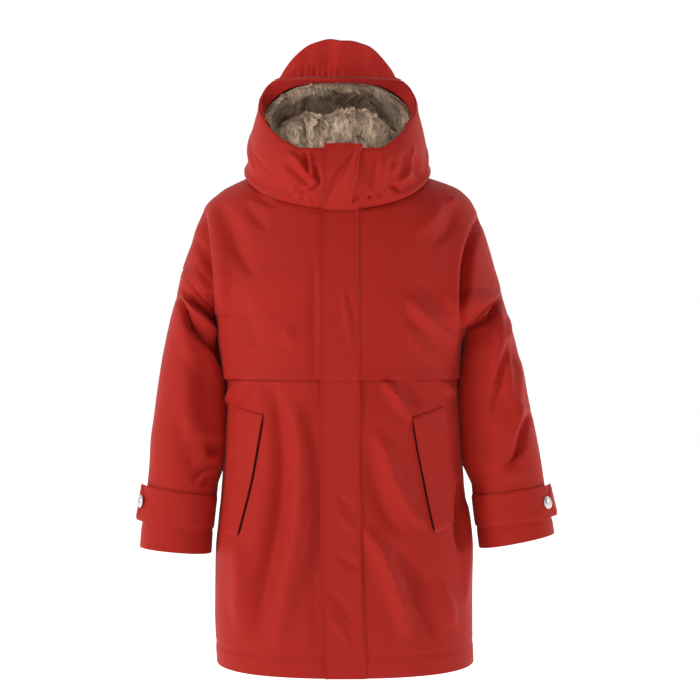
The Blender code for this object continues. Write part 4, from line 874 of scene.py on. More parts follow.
# On the hood's sides and back: by turn and share
HOOD_BACK_CREASES = (
    (+0.0030, 0.0110, 1.0, -92.0, 0.60, -78.0, 0.45, -62.0, 0.30),
    (+0.0032, 0.0100, 1.0, +70.0, 0.14, +78.0, 0.26, +84.0, 0.42),
    (-0.0042, 0.0110, 1.1, +96.0, 0.12, +108., 0.22, +124., 0.30),
    (-0.0042, 0.0110, 1.1, -100., 0.12, -112., 0.24, -126., 0.32),
    (+0.0040, 0.0110, 1.0, +126., 0.18, +138., 0.28, +154., 0.34),
    (+0.0040, 0.0110, 1.0, -128., 0.16, -140., 0.26, -156., 0.30),
    (-0.0040, 0.0100, 1.0, +148., 0.10, +162., 0.15, +178., 0.16),
    (-0.0036, 0.0100, 1.0, -150., 0.08, -164., 0.14, -178., 0.20),
    (+0.0028, 0.0140, 1.0, +110., 0.50, +124., 0.62, +132., 0.80),
    (-0.0028, 0.0140, 1.0, -108., 0.52, -122., 0.66, -130., 0.82),
)

PLACKET_CREASES = (
    (-0.0150, 0.0026, 1.0, +0.0262, +0.034, +0.0245, +0.006, +0.0225, -0.008, +0.0200, -0.018, +0.0155,
     -0.031),
    (-0.0050, 0.0055, 1.2, +0.0190, +0.038, +0.0080, +0.019, -0.0010, +0.004, -0.0110, -0.012, -0.0180,
     -0.026),
    (+0.0044, 0.0060, 1.0, +0.0230, +0.022, +0.0140, +0.004, +0.0050, -0.016),
    (+0.0020, 0.0050, 1.0, +0.0020, -0.150, +0.0080, -0.185, +0.0140, -0.224),
    (-0.0016, 0.0050, 1.0, +0.0080, -0.150, +0.0140, -0.180, +0.0180, -0.210),
    (-0.0018, 0.0060, 1.0, -0.0060, -0.418, +0.0060, -0.430, +0.0160, -0.436),
    (+0.0018, 0.0060, 1.0, -0.0060, -0.440, +0.0080, -0.456, +0.0200, -0.470),
    (-0.0018, 0.0060, 1.0, -0.0040, -0.500, +0.0100, -0.508, +0.0200, -0.514),
    (-0.0020, 0.0070, 1.0, -0.0140, -0.548, +0.0020, -0.566, +0.0140, -0.590),
    (+0.0020, 0.0070, 1.0, -0.0200, -0.570, -0.0060, -0.590, +0.0100, -0.615),
)

CLOTH = 0.0020          # thickness of a shell panel as it looks
ROLL, ROLL_WIDTH = 0.0010, 0.0035       # a sewn edge sinks by ROLL over this width
OVERHANG = 0.0060       # how far the hood's cloth bulges over the neck seam at the sides
HEM_ALLOWANCE, CUFF_ALLOWANCE = 0.028, 0.030    # heights of the turned hems
WOBBLE = ((0.0009, 13.0), (0.00030, 45.0))      # unevenness of the cloth: height and waves a metre
STEPS = 30              # short runs that a crease's line is read in
END_WIDE, END_TALL = 0.6, 0.2   # a crease's width and height at its ends, as shares


def pictured(grid):
    """Where points of the front lie in the crease plane, seen from the camera."""
    scale = CREASE_PLANE / (CAMERA_DISTANCE + grid[..., 1])
    return CAMERA_X + (grid[..., 0] - CAMERA_X) * scale, CAMERA_Z + (grid[..., 2] - CAMERA_Z) * scale


def crease_line(knots):
    """A smooth line through a crease's points."""
    length = np.concatenate([[0], np.cumsum(np.hypot(*np.diff(knots, axis=0).T))])
    at = np.linspace(0, length[-1], STEPS + 1)
    return np.stack([follow(length, knots[:, k], at) for k in (0, 1)], -1)


def strokes(creases, first, second, scale=(1.0, 1.0)):
    """The height of creases at points given in the creases' own two coordinates."""
    points = np.stack(np.broadcast_arrays(first * scale[0], second * scale[1]), -1)
    height = np.zeros(points.shape[:-1])
    for rise, width, lean, *line in creases:
        line = crease_line(np.array(line).reshape(-1, 2) * scale)
        reach = 3 * width * lean
        near = ((points > line.min(0) - reach) & (points < line.max(0) + reach)).all(-1)
        if not near.any():
            continue
        off = points[near][:, None] - line[:-1]
        run = np.diff(line, axis=0)
        t = np.clip((off * run).sum(-1) / (run ** 2).sum(-1), 0, 1)
        away = off - t[..., None] * run
        distance = np.hypot(away[..., 0], away[..., 1])
        best = distance.argmin(1)
        pick = np.arange(len(best)), best
        left = run[best, 0] * away[pick][:, 1] - run[best, 1] * away[pick][:, 0] > 0
        along = (best + t[pick]) / STEPS
        wide = width * np.where(left, 1 / lean, np.sqrt(lean))
        wide *= END_WIDE + (1 - END_WIDE) * np.sin(pi * along)
        taper = END_TALL + (1 - END_TALL) * np.sin(pi * along) ** 0.6
        height[near] += rise * taper * np.exp(-(distance[pick] / wide) ** 2)
    return height


def wobble(grid, stretch=(1.0, 1.0, 0.6)):
    """A slight unevenness of the cloth, longer downwards than across."""
    flat = grid.reshape(-1, 3) * np.array(stretch)
    height = np.zeros(len(flat))
    for size, waves in WOBBLE:
        height += size * np.array([noise.noise(Vector(point * waves)) for point in flat])
    return height.reshape(grid.shape[:2])


def spans(grid):
    """Lengths along the rows and down the columns of a grid, in metres."""
    across = np.linalg.norm(np.diff(grid, axis=1), axis=-1)
    down = np.linalg.norm(np.diff(grid, axis=0), axis=-1)
    u = np.concatenate([np.zeros((len(grid), 1)), np.cumsum(across, 1)], 1)
    v = np.concatenate([np.zeros((1, grid.shape[1])), np.cumsum(down, 0)], 0)
    return u, v


def finer(grid, times):
    """More columns between a grid's own, on smooth curves."""
    last = grid.shape[1] - 1
    at = np.linspace(0, last, last * times + 1)
    k = np.minimum(at.astype(int), last - 1)
    t = (at - k)[:, None]
    a, b, c, d = (grid[:, np.clip(k + step, 0, last)] for step in (-1, 0, 1, 2))
    return b + 0.5 * t * (c - a + t * (2 * a - 5 * b + 4 * c - d + t * (3 * (b - c) + d - a)))


def rolled(grid, edges):
    """How far points near sewn edges sink."""
    u, v = spans(grid)
    away = {"first": u, "last": u[:, -1:] - u, "top": v, "bottom": v[-1:] - v}
    return -ROLL * sum(np.exp(-(away[edge] / ROLL_WIDTH) ** 2) for edge in edges)


def calm(grid, edges, width=0.012):
    """0 at the named edges and 1 away from them, so that neighbours stay joined."""
    u, v = spans(grid)
    away = {"first": u, "last": u[:, -1:] - u, "top": v, "bottom": v[-1:] - v}
    mask = np.ones(grid.shape[:2])
    for edge in edges:
        mask = mask * ease(0, width, away[edge])
    return mask


# ---- materials --------------------------------------------------------------------------------

RED, RED_LIGHT = (0.378, 0.0088, 0.0034, 1), (0.410, 0.0112, 0.0052, 1)    # the shell and its paler places
# A darker copy of the shell's red, as painted shade on the facing, the visor and the coat's insides; with its
# paler places
SHADED_RED, SHADED_RED_PALE = (0.35, 0.0085, 0.0048, 1), (0.38, 0.0105, 0.0062, 1)
THREAD_RED, THREAD_LIGHT = (0.42, 0.020, 0.014, 1), (0.46, 0.024, 0.018, 1)
# Near black: painted shadow in the pockets' openings, with its paler places
POCKET_SHADOW, POCKET_SHADOW_PALE = (0.030, 0.0015, 0.0012, 1), (0.038, 0.002, 0.0016, 1)
BETWEEN_THREADS = (0.55, 0.45, 0.45, 1)     # what the weave's gaps multiply the cloth's colour by
SHEEN_TINT = (1.0, 0.40, 0.34, 1.0)
THREAD_PITCH = 0.0009       # one pair of threads of the shell's weave
WAVE_LENGTH = 2 * pi / 20   # of Blender's wave texture at a scale of 1
STRAND_SHADES = (           # from a strand's dark root to its pale tip
    (0.0, (0.090, 0.045, 0.023, 1)), (0.32, (0.42, 0.28, 0.18, 1)),
    (0.62, (0.85, 0.66, 0.48, 1)), (1.0, (1.0, 0.88, 0.72, 1)))
PILE_SHADES = ((0.3, (0.10, 0.06, 0.036, 1)), (0.7, (0.52, 0.39, 0.28, 1)))
SILVER = (0.66, 0.65, 0.63, 1)


class Nodes:
    """A material's node tree, with short ways to add and link nodes."""

    def __init__(self, name):
        self.material = bpy.data.materials.new(name)
        self.material.use_nodes = True
        self.tree = self.material.node_tree

    def put(self, node, name, value):
        if isinstance(value, bpy.types.NodeSocket):
            self.tree.links.new(value, node.inputs[name])
        else:
            node.inputs[name].default_value = value

    def fill(self, node, **inputs):
        """Sets or links a node's inputs, which are named with _ for a space."""
        for name, value in inputs.items():
            self.put(node, name.replace("_", " "), value)
        return node

    def add(self, kind, **inputs):
        return self.fill(self.tree.nodes.new(kind), **inputs)

    def finish(self, **inputs):
        """Sets the surface and returns the material."""
        self.fill(self.tree.nodes["Principled BSDF"], **inputs)
        return self.material

    def maths(self, operation, first, second):
        node = self.add("ShaderNodeMath")
        node.operation = operation
        self.put(node, 0, first)
        self.put(node, 1, second)
        return node.outputs[0]

    def blend(self, way, share, first, second):
        """Two colours mixed by a share."""
        node = self.add("ShaderNodeMix")
        node.data_type, node.blend_type = "RGBA", way
        for name, value in ((0, share), ("A", first), ("B", second)):
            self.put(node, name, value)
        return node.outputs["Result"]

    def noise(self, scale, detail, roughness=0.5):
        """Noise by the place on the object."""
        place = self.add("ShaderNodeTexCoord").outputs["Object"]
        node = self.add("ShaderNodeTexNoise", Scale=scale, Detail=detail, Roughness=roughness, Vector=place)
        return node.outputs["Fac"]

    def bump(self, height, strength, distance):
        node = self.add("ShaderNodeBump", Strength=strength, Distance=distance, Height=height)
        return node.outputs["Normal"]

    def ramp(self, share, stops):
        """A colour by a share, from stops of (share, colour)."""
        node = self.add("ShaderNodeValToRGB", Fac=share)
        elements = node.color_ramp.elements
        elements[0].position, elements[0].color = stops[0]
        elements[1].position, elements[1].color = stops[-1]
        for at, colour in stops[1:-1]:
            elements.new(at).color = colour
        return node.outputs["Color"]


def cloth_material(name, base, light, rough=0.68, sheen=0.13):
    """Fine plain weave with a slight sheen and uneven colour."""
    nodes = Nodes(name)
    lengths = nodes.add("ShaderNodeTexCoord").outputs["UV"]
    weave = []
    for direction in ("X", "Y"):
        scale = WAVE_LENGTH / THREAD_PITCH
        wave = nodes.add("ShaderNodeTexWave", Scale=scale, Distortion=0.6, Detail=1.0, Vector=lengths)
        wave.bands_direction = direction
        weave.append(wave.outputs["Fac"])
    threads = nodes.maths("MULTIPLY", *weave)
    cloud = nodes.maths("MULTIPLY", nodes.noise(9.0, 4.0, 0.55), 0.9)
    colour = nodes.blend("MIX", cloud, base, light)
    colour = nodes.blend("MULTIPLY", nodes.maths("MULTIPLY", threads, 0.22), colour, BETWEEN_THREADS)
    grain = nodes.maths("MULTIPLY", nodes.noise(420.0, 3.0, 0.6), 0.6)
    height = nodes.maths("ADD", nodes.maths("MULTIPLY", threads, 0.7), grain)
    return nodes.finish(
        Base_Color=colour, Normal=nodes.bump(height, 0.35, 0.00035), Roughness=rough,
        Specular_IOR_Level=0.22, Sheen_Weight=sheen, Sheen_Roughness=0.45, Sheen_Tint=SHEEN_TINT)


def fur_material():
    """Brown pile, darker at its roots. Each strand's own shade is in the attribute `shade`."""
    nodes = Nodes("fur")
    shade = nodes.add("ShaderNodeAttribute")
    shade.attribute_name = "shade"
    return nodes.finish(
        Base_Color=nodes.ramp(shade.outputs["Fac"], STRAND_SHADES), Roughness=0.72,
        Specular_IOR_Level=0.25, Sheen_Weight=0.3, Sheen_Roughness=0.5)


def pile_material():
    """The backing that the fur stands on."""
    nodes = Nodes("pile")
    grain = nodes.noise(260.0, 5.0, 0.7)
    return nodes.finish(
        Base_Color=nodes.ramp(grain, PILE_SHADES), Roughness=0.9, Normal=nodes.bump(grain, 0.8, 0.002))


def snap_material():
    """Satin silver with fine scratches."""
    nodes = Nodes("snap")
    scratches = nodes.maths("MULTIPLY", nodes.noise(900.0, 3.0), 0.18)
    return nodes.finish(Base_Color=SILVER, Metallic=1.0, Roughness=nodes.maths("ADD", scratches, 0.36))


SHELL = cloth_material("shell", RED, RED_LIGHT)
# The shell's cloth in a darker red: painted shade
SHADED_FACING = cloth_material("facing", SHADED_RED, SHADED_RED_PALE, rough=0.75, sheen=0.15)
THREAD = cloth_material("thread", THREAD_RED, THREAD_LIGHT, rough=0.5)
# A near-black sheet: painted shadow in the pockets' openings
POCKET_SHADOW_CLOTH = cloth_material("pocket", POCKET_SHADOW, POCKET_SHADOW_PALE, rough=0.9, sheen=0.0)
FUR_STRANDS, PILE, SNAP = fur_material(), pile_material(), snap_material()


# ---- meshes -----------------------------------------------------------------------------------

surfaces = {}           # the pieces as they are laid: {node: (points, normals)}


def in_scene(name, data):
    """A new object in the scene."""
    thing = bpy.data.objects.new(name, data)
    bpy.context.scene.collection.objects.link(thing)
    return thing


def mesh_of(name, points, faces, *materials):
    mesh = bpy.data.meshes.new(name)
    mesh.from_pydata(points, [], faces)
    for material in materials:
        mesh.materials.append(material)
    return mesh


def linked(name, mesh):
    """A smooth piece of the coat."""
    mesh.validate()
    mesh.shade_smooth()
    mesh.set_sharp_from_angle(angle=np.radians(55))
    piece = in_scene(name, mesh)
    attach(piece, "root")
    return piece


def volume(points, faces):
    a, b, c, d = (points[faces[:, k]] for k in range(4))
    return (np.einsum("ij,ij->i", a, np.cross(b, c)) + np.einsum("ij,ij->i", a, np.cross(c, d))).sum()


def shell_mesh(name, outer, normals, thickness=CLOTH, closed=False, limit=None, inside=None,
               material=SHELL):
    """A thin wall on a grid of points, with lengths along the cloth as its UVs."""
    inner = outer - normals * thickness
    if limit is not None:
        inner = limit(inner)
    rows, columns = outer.shape[:2]
    points = np.concatenate([outer.reshape(-1, 3), inner.reshape(-1, 3)])
    u, v = spans(np.concatenate([outer, outer[:, :1]], 1) if closed else outer)
    half, across = rows * columns, columns if closed else columns - 1
    row, column = (at.ravel() for at in np.meshgrid(np.arange(rows - 1), np.arange(across), indexing="ij"))

    def quads(corners):
        """Faces by their corners' (rows, columns, layer), and where they lie along the cloth."""
        faces = np.stack([layer * half + r * columns + c % columns for r, c, layer in corners], -1)
        return faces, np.stack([np.stack([u[r, c], v[r, c % columns]], -1) for r, c, _ in corners], 1)

    front = quads([(row, column, 0), (row + 1, column, 0), (row + 1, column + 1, 0), (row, column + 1, 0)])
    back = quads([(row, column + 1, 1), (row + 1, column + 1, 1), (row + 1, column, 1), (row, column, 1)])
    c, first, last = np.arange(across), np.zeros(across, int), np.full(across, rows - 1)
    parts = [front, back,
             quads([(first, c, 0), (first, c + 1, 0), (first, c + 1, 1), (first, c, 1)]),
             quads([(last, c + 1, 0), (last, c, 0), (last, c, 1), (last, c + 1, 1)])]
    if not closed:
        r, left, right = np.arange(rows - 1), np.zeros(rows - 1, int), np.full(rows - 1, columns - 1)
        parts += [quads([(r + 1, left, 0), (r, left, 0), (r, left, 1), (r + 1, left, 1)]),
                  quads([(r, right, 0), (r + 1, right, 0), (r + 1, right, 1), (r, right, 1)])]
    faces, lengths = (np.concatenate(both) for both in zip(*parts))
    if volume(points, faces) < 0:
        faces, lengths = faces[:, ::-1], lengths[:, ::-1]
    mesh = mesh_of(name, points, faces.tolist(), material)
    mesh.uv_layers.new(name="cloth").data.foreach_set("uv", lengths.reshape(-1))
    # The inner faces take `inside`, which is always the darker facing cloth: painted shade inside the coat
    if inside is not None:
        mesh.materials.append(inside)
        index = np.zeros(len(faces), int)
        index[len(front[0]):len(front[0]) + len(back[0])] = 1
        mesh.polygons.foreach_set("material_index", index)
    return linked(name, mesh)


def lay(node, grid, normals, flat, area=None, slot="shell", with_pieces=(), **wall):
    """Lays a piece's sheet and hides the solid that it stands for. The size it was cut to and its area are
    not used.
    """
    surfaces[node] = grid, normals
    kind = "fur" if slot == "fur" else "cloth"
    piece = shell_mesh(f"{node}_{kind}", grid, normals, **wall)
    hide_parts(node)
    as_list(with_pieces)


def keep_front(side):
    """Keeps a front's inner points on its own side of the side seam and the middle line."""
    def limit(points):
        points[..., 1] = np.minimum(points[..., 1], -SEAM / 2)
        points[..., 0] = side * np.maximum(points[..., 0] * side, SEAM / 2)
        return points
    return limit


def keep_back(points):
    points[..., 1] = np.maximum(points[..., 1], SEAM / 2)
    return points


def raised(grid, normals, height):
    return grid + normals * height[..., None]


def hump(distance, width):
    """1 at no distance, falling as a bell does over the width."""
    return np.exp(-(distance / width) ** 2)


# ---- the shell --------------------------------------------------------------------------------

GROOVE, GROOVE_WIDTH = 0.0008, 0.0030   # the groove of the seam that holds a turned hem
HEM_FULLNESS = 0.0005   # how far the turned hem stands out
YOKE_LIFT, YOKE_LIFT_TALL = 0.0018, 0.020       # the yoke's hem stands off the fronts over this height
RING = 0.036            # from one section of a sleeve to the next
ARC = 0.055 * pi / 180  # one degree round a sleeve
ARMHOLE_CALM, CUFF_CALM = 0.35, 0.8     # sections over which a sleeve's folds begin and end
SLEEVE_SIDE = (-0.05, 0.25)     # sines of the turns over which the front's creases take over

# The sleeves' inner sides lie against the body: height, and how much nearer than the solids' they are
SLEEVE_NEARER = {
    RIGHT: ((-0.410, 0.0), (-0.375, 0.0095), (-0.300, 0.0110), (-0.200, 0.0105), (-0.140, 0.004),
            (-0.110, 0.0)),
    LEFT: ((-0.412, 0.0), (-0.380, 0.0120), (-0.300, 0.0140), (-0.230, 0.0125), (-0.160, 0.007),
           (-0.120, 0.0)),
}
HOOD_FINER, VISOR_FINER = 2, 5      # columns for one of the solids' grids
DEGREE, HOOD_TALL = 0.002, 0.11     # one degree round the hood, and from its neck to its rim
HOOD_SIDE = (105, 85)               # turns from where the front's creases fade in
OVERHANG_AT, OVERHANG_WIDTH = 0.011, 0.008      # how high the hood's bulge sits
OVERHANG_FRONT, OVERHANG_BACK = (22, 50), (150, 100)    # turns over which it begins and ends
NECK_CALM, RIM_CALM = 0.006, 0.95   # height and share over which the hood's folds begin and end


def body_height(grid, face):
    """Creases and unevenness on the body at its points."""
    at = pictured(grid) if face == FRONT else (grid[..., 0], grid[..., 2])
    return strokes(BODY_CREASES[face], *at) + wobble(grid)


def hem_line(grid):
    """The groove of the seam that holds the turned hem, and the hem's slight fullness."""
    _, v = spans(grid)
    up = v[-1:] - v
    groove = -GROOVE * hump(up - HEM_ALLOWANCE, GROOVE_WIDTH)
    return groove + HEM_FULLNESS * ease(HEM_ALLOWANCE, HEM_ALLOWANCE * 0.6, up)


def make_body(grids):
    for side in (RIGHT, LEFT):
        name = side_name(side)
        wall = {"limit": keep_front(side), "inside": SHADED_FACING}
        yoke, normals = (finer(part, 2) for part in grids[f"yoke_{name}"])
        _, v = spans(yoke)
        height = body_height(yoke, FRONT) * calm(yoke, ["top", "last"]) + rolled(yoke, ["top", "last"])
        height += YOKE_LIFT * ease(YOKE_LIFT_TALL, 0.0, v[-1:] - v)
        lay(f"yoke_{name}", raised(yoke, normals, height), normals, flat=(0.25, 0.27), area=0.064, **wall)
        front, normals = grids[f"front_{name}"]
        height = body_height(front, FRONT) * calm(front, ["last"]) + rolled(front, ["last"]) + hem_line(front)
        lay(f"front_{name}", raised(front, normals, height), normals, flat=(0.235, 0.415), **wall)
        make_sleeve(side, *grids[f"sleeve_{name}"])
    back, normals = grids["back"]
    sewn = ["first", "last", "top"]
    height = body_height(back, BACK) * calm(back, sewn) + rolled(back, sewn) + hem_line(back)
    lay("back", raised(back, normals, height), normals, flat=(0.48, 0.68), area=0.312,
        limit=keep_back, inside=SHADED_FACING)


def make_sleeve(side, grid, normals):
    turn = np.linspace(0, 360, 2 * ARMHOLE_ROWS + 1)[:-1]
    last = len(SLEEVES[side]["outer"]) - 1
    turns, alongs = np.meshgrid(turn, np.linspace(0, last, SLEEVE_RINGS + 1))
    in_front = ease(*SLEEVE_SIDE, np.sin(np.radians(turns)))
    height = strokes(SLEEVE_FRONT_CREASES[side], *pictured(grid)) * in_front
    height += strokes(SLEEVE_BACK_CREASES[side], turns, alongs, scale=(ARC, RING)) * (1 - in_front)
    height = (height + wobble(grid)) * ease(0.0, ARMHOLE_CALM, alongs) * ease(last, last - CUFF_CALM, alongs)
    height -= ROLL * hump(alongs * RING, ROLL_WIDTH)
    height -= GROOVE * hump((last - alongs) * RING - CUFF_ALLOWANCE, GROOVE_WIDTH)
    grid = raised(grid, normals, height)
    heights, nearer = zip(*SLEEVE_NEARER[side])
    towards = np.clip(-side * normals[..., 0], 0, 1) ** 1.5
    grid[..., 0] -= side * towards * np.interp(grid[..., 2], heights, nearer)
    lay(f"sleeve_{side_name(side)}", grid, normals, flat=(0.33, 0.38), area=0.107, closed=True, inside=SHADED_FACING)


def make_hood(grids):
    cap, normals = (finer(part, HOOD_FINER) for part in grids["hood"])
    turns, shares = np.meshgrid(np.linspace(-180, 180, cap.shape[1]), np.linspace(0, 1, HOOD_RISE + 1))
    up, around = shares * HOOD_TALL, np.abs(turns)
    x, z = pictured(cap)
    height = strokes(HOOD_FRONT_CREASES, x, z)
    for at_x, at_z, radius, rise in PUCKERS:
        height += rise * hump(np.hypot(x - at_x, z - at_z), radius)
    height *= ease(*HOOD_SIDE, around)
    height += strokes(HOOD_BACK_CREASES, turns, shares, scale=(DEGREE, HOOD_TALL))
    height = (height + wobble(cap, (1, 1, 1))) * ease(0.0, NECK_CALM, up) * ease(1.0, RIM_CALM, shares)
    bulge = ease(*OVERHANG_FRONT, around) * ease(*OVERHANG_BACK, around)
    height += OVERHANG * hump(up - OVERHANG_AT, OVERHANG_WIDTH) * bulge
    for away in ((1 - shares) * HOOD_TALL, up, (around - STRIP_TURN) * DEGREE):
        height -= ROLL * hump(away, ROLL_WIDTH)
    cap = raised(cap, normals, height)
    middle, strip = cap.shape[1] // 2, round(STRIP_TURN / HOOD_TURN) * HOOD_FINER
    right, left = slice(middle - strip, middle + 1), slice(middle, middle + strip + 1)
    for name, part in (("hood_right", right), ("hood_left", left)):
        lay(name, cap[:, part], normals[:, part], flat=(0.25, 0.17), area=0.033, inside=SHADED_FACING)
    crown = [over_crown(part, middle, strip) for part in (cap, normals)]
    lay("hood_centre", *crown, flat=(0.24, 0.27), area=0.050, inside=SHADED_FACING)


# ---- what lies on the shell ---------------------------------------------------------------------

PLACKET_LIFT = 0.0004   # how much higher than its own cloth the placket lies
PLACKET_FLATS = {"collar": (0.050, 0.105), "chest": (0.052, 0.225), "skirt": (0.056, 0.397)}
WELT_END = 0.010        # how far from its ends a welt's folded edge stands up fully
WELT_BULGE, WELT_CLOTH = 0.75, 0.8      # how high a welt lies and how thick it is, in shell cloths
MOUTH = 0.0021          # the widest opening between a welt's edge and the front behind it
MOUTH_UNDER, MOUTH_WALL = 0.002, 0.0006     # how far its sheet of painted shadow runs under the welt, and that sheet's wall
MOUTH_LIFT = 0.0005     # how high it lies on the front
MOUTH_OPEN = (0.12, 0.94)       # the shares of its length between which it opens fully
STRAP_FOLD = 0.032      # the tab's own length, which lies over the strap
STRAP_STEP = 0.0020     # how much higher the tab lies there
SNAP_IN = 10.0          # degrees from the solids' snap to the cap's middle
SNAP_RINGS = (          # the snap's cap from its foot to the middle: shares of its radius, and heights
    (0.96, -0.0006), (1.03, 0.0003), (1.02, 0.0012), (0.95, 0.0018), (0.86, 0.0016), (0.80, 0.0013),
    (0.75, 0.0017), (0.60, 0.0026), (0.40, 0.0032), (0.18, 0.0035))
SNAP_SIDES = 40

# Forms along edges that are sewn down (fall), folded (fold) or joined on: depth or height, and width
PLACKET_FALL, PLACKET_FOLD, PLACKET_JOIN = (0.0030, 0.0020), (0.0014, 0.0030), (0.0006, 0.0025)
WELT_FALL, WELT_FOLD = (0.0024, 0.0018), (0.0012, 0.006)
STRAP_FALL = (0.0008, 0.0022)


def edge_form(distance, size):
    """The height of a form (height, width) along an edge."""
    height, width = size
    return height * hump(distance, width)


def make_placket():
    stretches = {"collar": placket_on_hood(PLACKET_ROWS[0]),
                 "chest": placket_on_body(NECK_FRONT, YOKE_HEM, PLACKET_ROWS[1]),
                 "skirt": placket_on_body(YOKE_HEM, HEM_FRONT, PLACKET_ROWS[2])}
    normals = {part: outward(base, LEFT) for part, base in stretches.items()}
    sew((normals["collar"], (-1,)), (normals["chest"], (0,)))
    sew((normals["chest"], (-1,)), (normals["skirt"], (0,)))
    for part, base in stretches.items():
        u, v = spans(base)
        ends = {"collar": v[-1:] - v, "chest": np.minimum(v, v[-1:] - v), "skirt": v}[part]
        height = REST + CLOTH + PLACKET_LIFT
        height = height + strokes(PLACKET_CREASES, *pictured(base)) + 0.5 * wobble(base)
        height += edge_form(u, PLACKET_FOLD) - edge_form(u[:, -1:] - u, PLACKET_FALL)
        height -= edge_form(ends, PLACKET_JOIN)
        grid = raised(base, normals[part], height)
        lay(f"placket_{part}", grid, normals[part], flat=PLACKET_FLATS[part])


def make_welt(side):
    rows = WELTS[side]
    at = np.arange(len(rows["outer"]), dtype=float)
    along = np.linspace(0, at[-1], WELT_ROWS + 1)
    read = {name: follow(at, rows[name], along)[:, None] for name in rows}
    across = np.linspace(1, 0, WELT_COLUMNS + 1)
    x = side * (read["outer"] + (read["inner"] - read["outer"]) * across)
    z = read["outer_z"] + (read["inner_z"] - read["outer_z"]) * across
    base = body(x, z, FRONT)
    base = base + outward(base, side) * tuck(z)[..., None]
    normals = outward(base, side)
    u, v = spans(base)
    ends = np.minimum(v, v[-1:] - v)
    height = body_height(base, FRONT) + REST + CLOTH * WELT_BULGE
    height -= edge_form(np.minimum(ends, u[:, -1:] - u), WELT_FALL)
    height += edge_form(u, WELT_FOLD) * ease(0.0, WELT_END, ends)
    shadow_sheet = make_mouth(side, base, normals)
    lay(f"welt_{side_name(side)}", raised(base, normals, height), normals, flat=(0.045, 0.172),
        with_pieces=[shadow_sheet], thickness=CLOTH * WELT_CLOTH)


def make_mouth(side, base, normals):
    """A dark sheet of painted shadow in the pocket's opening, beside a welt's inner edge."""
    inward = unit(base[:, 0] - base[:, 1])
    along = np.linspace(0, 1, len(base))[:, None]
    wide = MOUTH * ease(0.0, MOUTH_OPEN[0], along) * ease(1.0, MOUTH_OPEN[1], along)
    edge = base[:, 0] + normals[:, 0] * (body_height(base[:, :1], FRONT) + MOUTH_LIFT)
    grid = np.stack([edge + inward * wide, edge + inward * wide / 2, edge, edge - inward * MOUTH_UNDER], 1)
    normals = normals[:, :1].repeat(4, 1)
    piece = shell_mesh(f"pocket_shadow_sheet_{side_name(side)}", grid, normals, thickness=MOUTH_WALL, material=POCKET_SHADOW_CLOTH)
    return piece


def make_cuff(side):
    """The strap round a cuff, with its tab and snap."""
    name = side_name(side)
    base = strap_base(side)
    columns = np.arange(base.shape[1])
    rise = TAB_LIFT * ease(STRAP_COLUMNS - TAB_COLUMNS, columns[-1], columns)
    normals = -normals_of(base) * side
    u, v = spans(base)
    height = STRAP_REST + WALL + rise - edge_form(np.minimum(v, v[-1:] - v), STRAP_FALL) + 0.4 * wobble(base)
    height = height + STRAP_STEP * (u[:, -1:] - u < STRAP_FOLD) - STRAP_STEP / 2
    outer = raised(base, normals, height)
    normals = -normals_of(outer) * side
    lay(f"strap_{name}", outer, normals, flat=(0.155, 0.045))
    column_turn = (STRAP_START - STRAP_END) / STRAP_COLUMNS
    spot = STRAP_COLUMNS + (STRAP_END - SNAP_TURN[side] - SNAP_IN) / column_turn
    row, column = STRAP_ROWS // 2, int(spot)
    centre = outer[row, column] + (outer[row, column + 1] - outer[row, column]) * (spot - column)
    make_snap(f"snap_{name}", centre, unit(normals[row, column] + normals[row, column + 1]))


def make_snap(name, centre, up):
    first = unit(np.cross(up, (0, 0, 1)))
    second = np.cross(up, first)
    turn = np.arange(SNAP_SIDES) * 2 * pi / SNAP_SIDES
    way = np.cos(turn)[:, None] * first + np.sin(turn)[:, None] * second
    foot = centre + up * SNAP_GAP / 2
    rings = [foot + way * SNAP_RADIUS * reach + up * height for reach, height in SNAP_RINGS]
    points = np.concatenate([*rings, [foot + up * SNAP_RINGS[-1][1]]])
    here = np.arange(SNAP_SIDES)
    after = (here + 1) % SNAP_SIDES
    faces = [here[::-1].tolist()]
    for low in range(0, (len(rings) - 1) * SNAP_SIDES, SNAP_SIDES):
        high = low + SNAP_SIDES
        faces += np.stack([here + low, after + low, after + high, here + high], 1).tolist()
    faces += np.stack([here + high, after + high, 0 * here + len(points) - 1], 1).tolist()
    piece = linked(f"{name}_cap", mesh_of(name, points, faces, SNAP))
    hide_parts(name)


# ---- the hood's trimmings -----------------------------------------------------------------------

GATHERS = (             # small pleats along the visor's seam: x, width, depth
    (-0.062, 0.0030, 0.0018), (-0.052, 0.0034, 0.0026), (-0.044, 0.0026, 0.0022), (-0.037, 0.0036, 0.0046),
    (-0.029, 0.0028, 0.0026), (-0.021, 0.0032, 0.0032), (-0.013, 0.0026, 0.0020), (-0.004, 0.0034, 0.0028),
    (+0.006, 0.0030, 0.0020), (+0.019, 0.0036, 0.0018), (+0.033, 0.0034, 0.0014), (+0.050, 0.0036, 0.0012))
GATHER_RISE = 0.013     # how far up the visor they run
VISOR_BANDS = ((0.0016, 95.0, 0.4), (0.0010, 210.0, 1.9))  # soft bands on it: height, waves a metre, phase
BANDS_FROM = 0.02       # how far above its seam the bands are whole
GATHER_LEAN = 0.1       # how far a pleat leans sideways for its height
VISOR_FRONT = np.array([0, -0.0024, 0])     # its seam lies on the front of the rim
VISOR_END_TALL, VISOR_END_WALL = 0.15, 0.1  # what is left of its height and wall at its ends

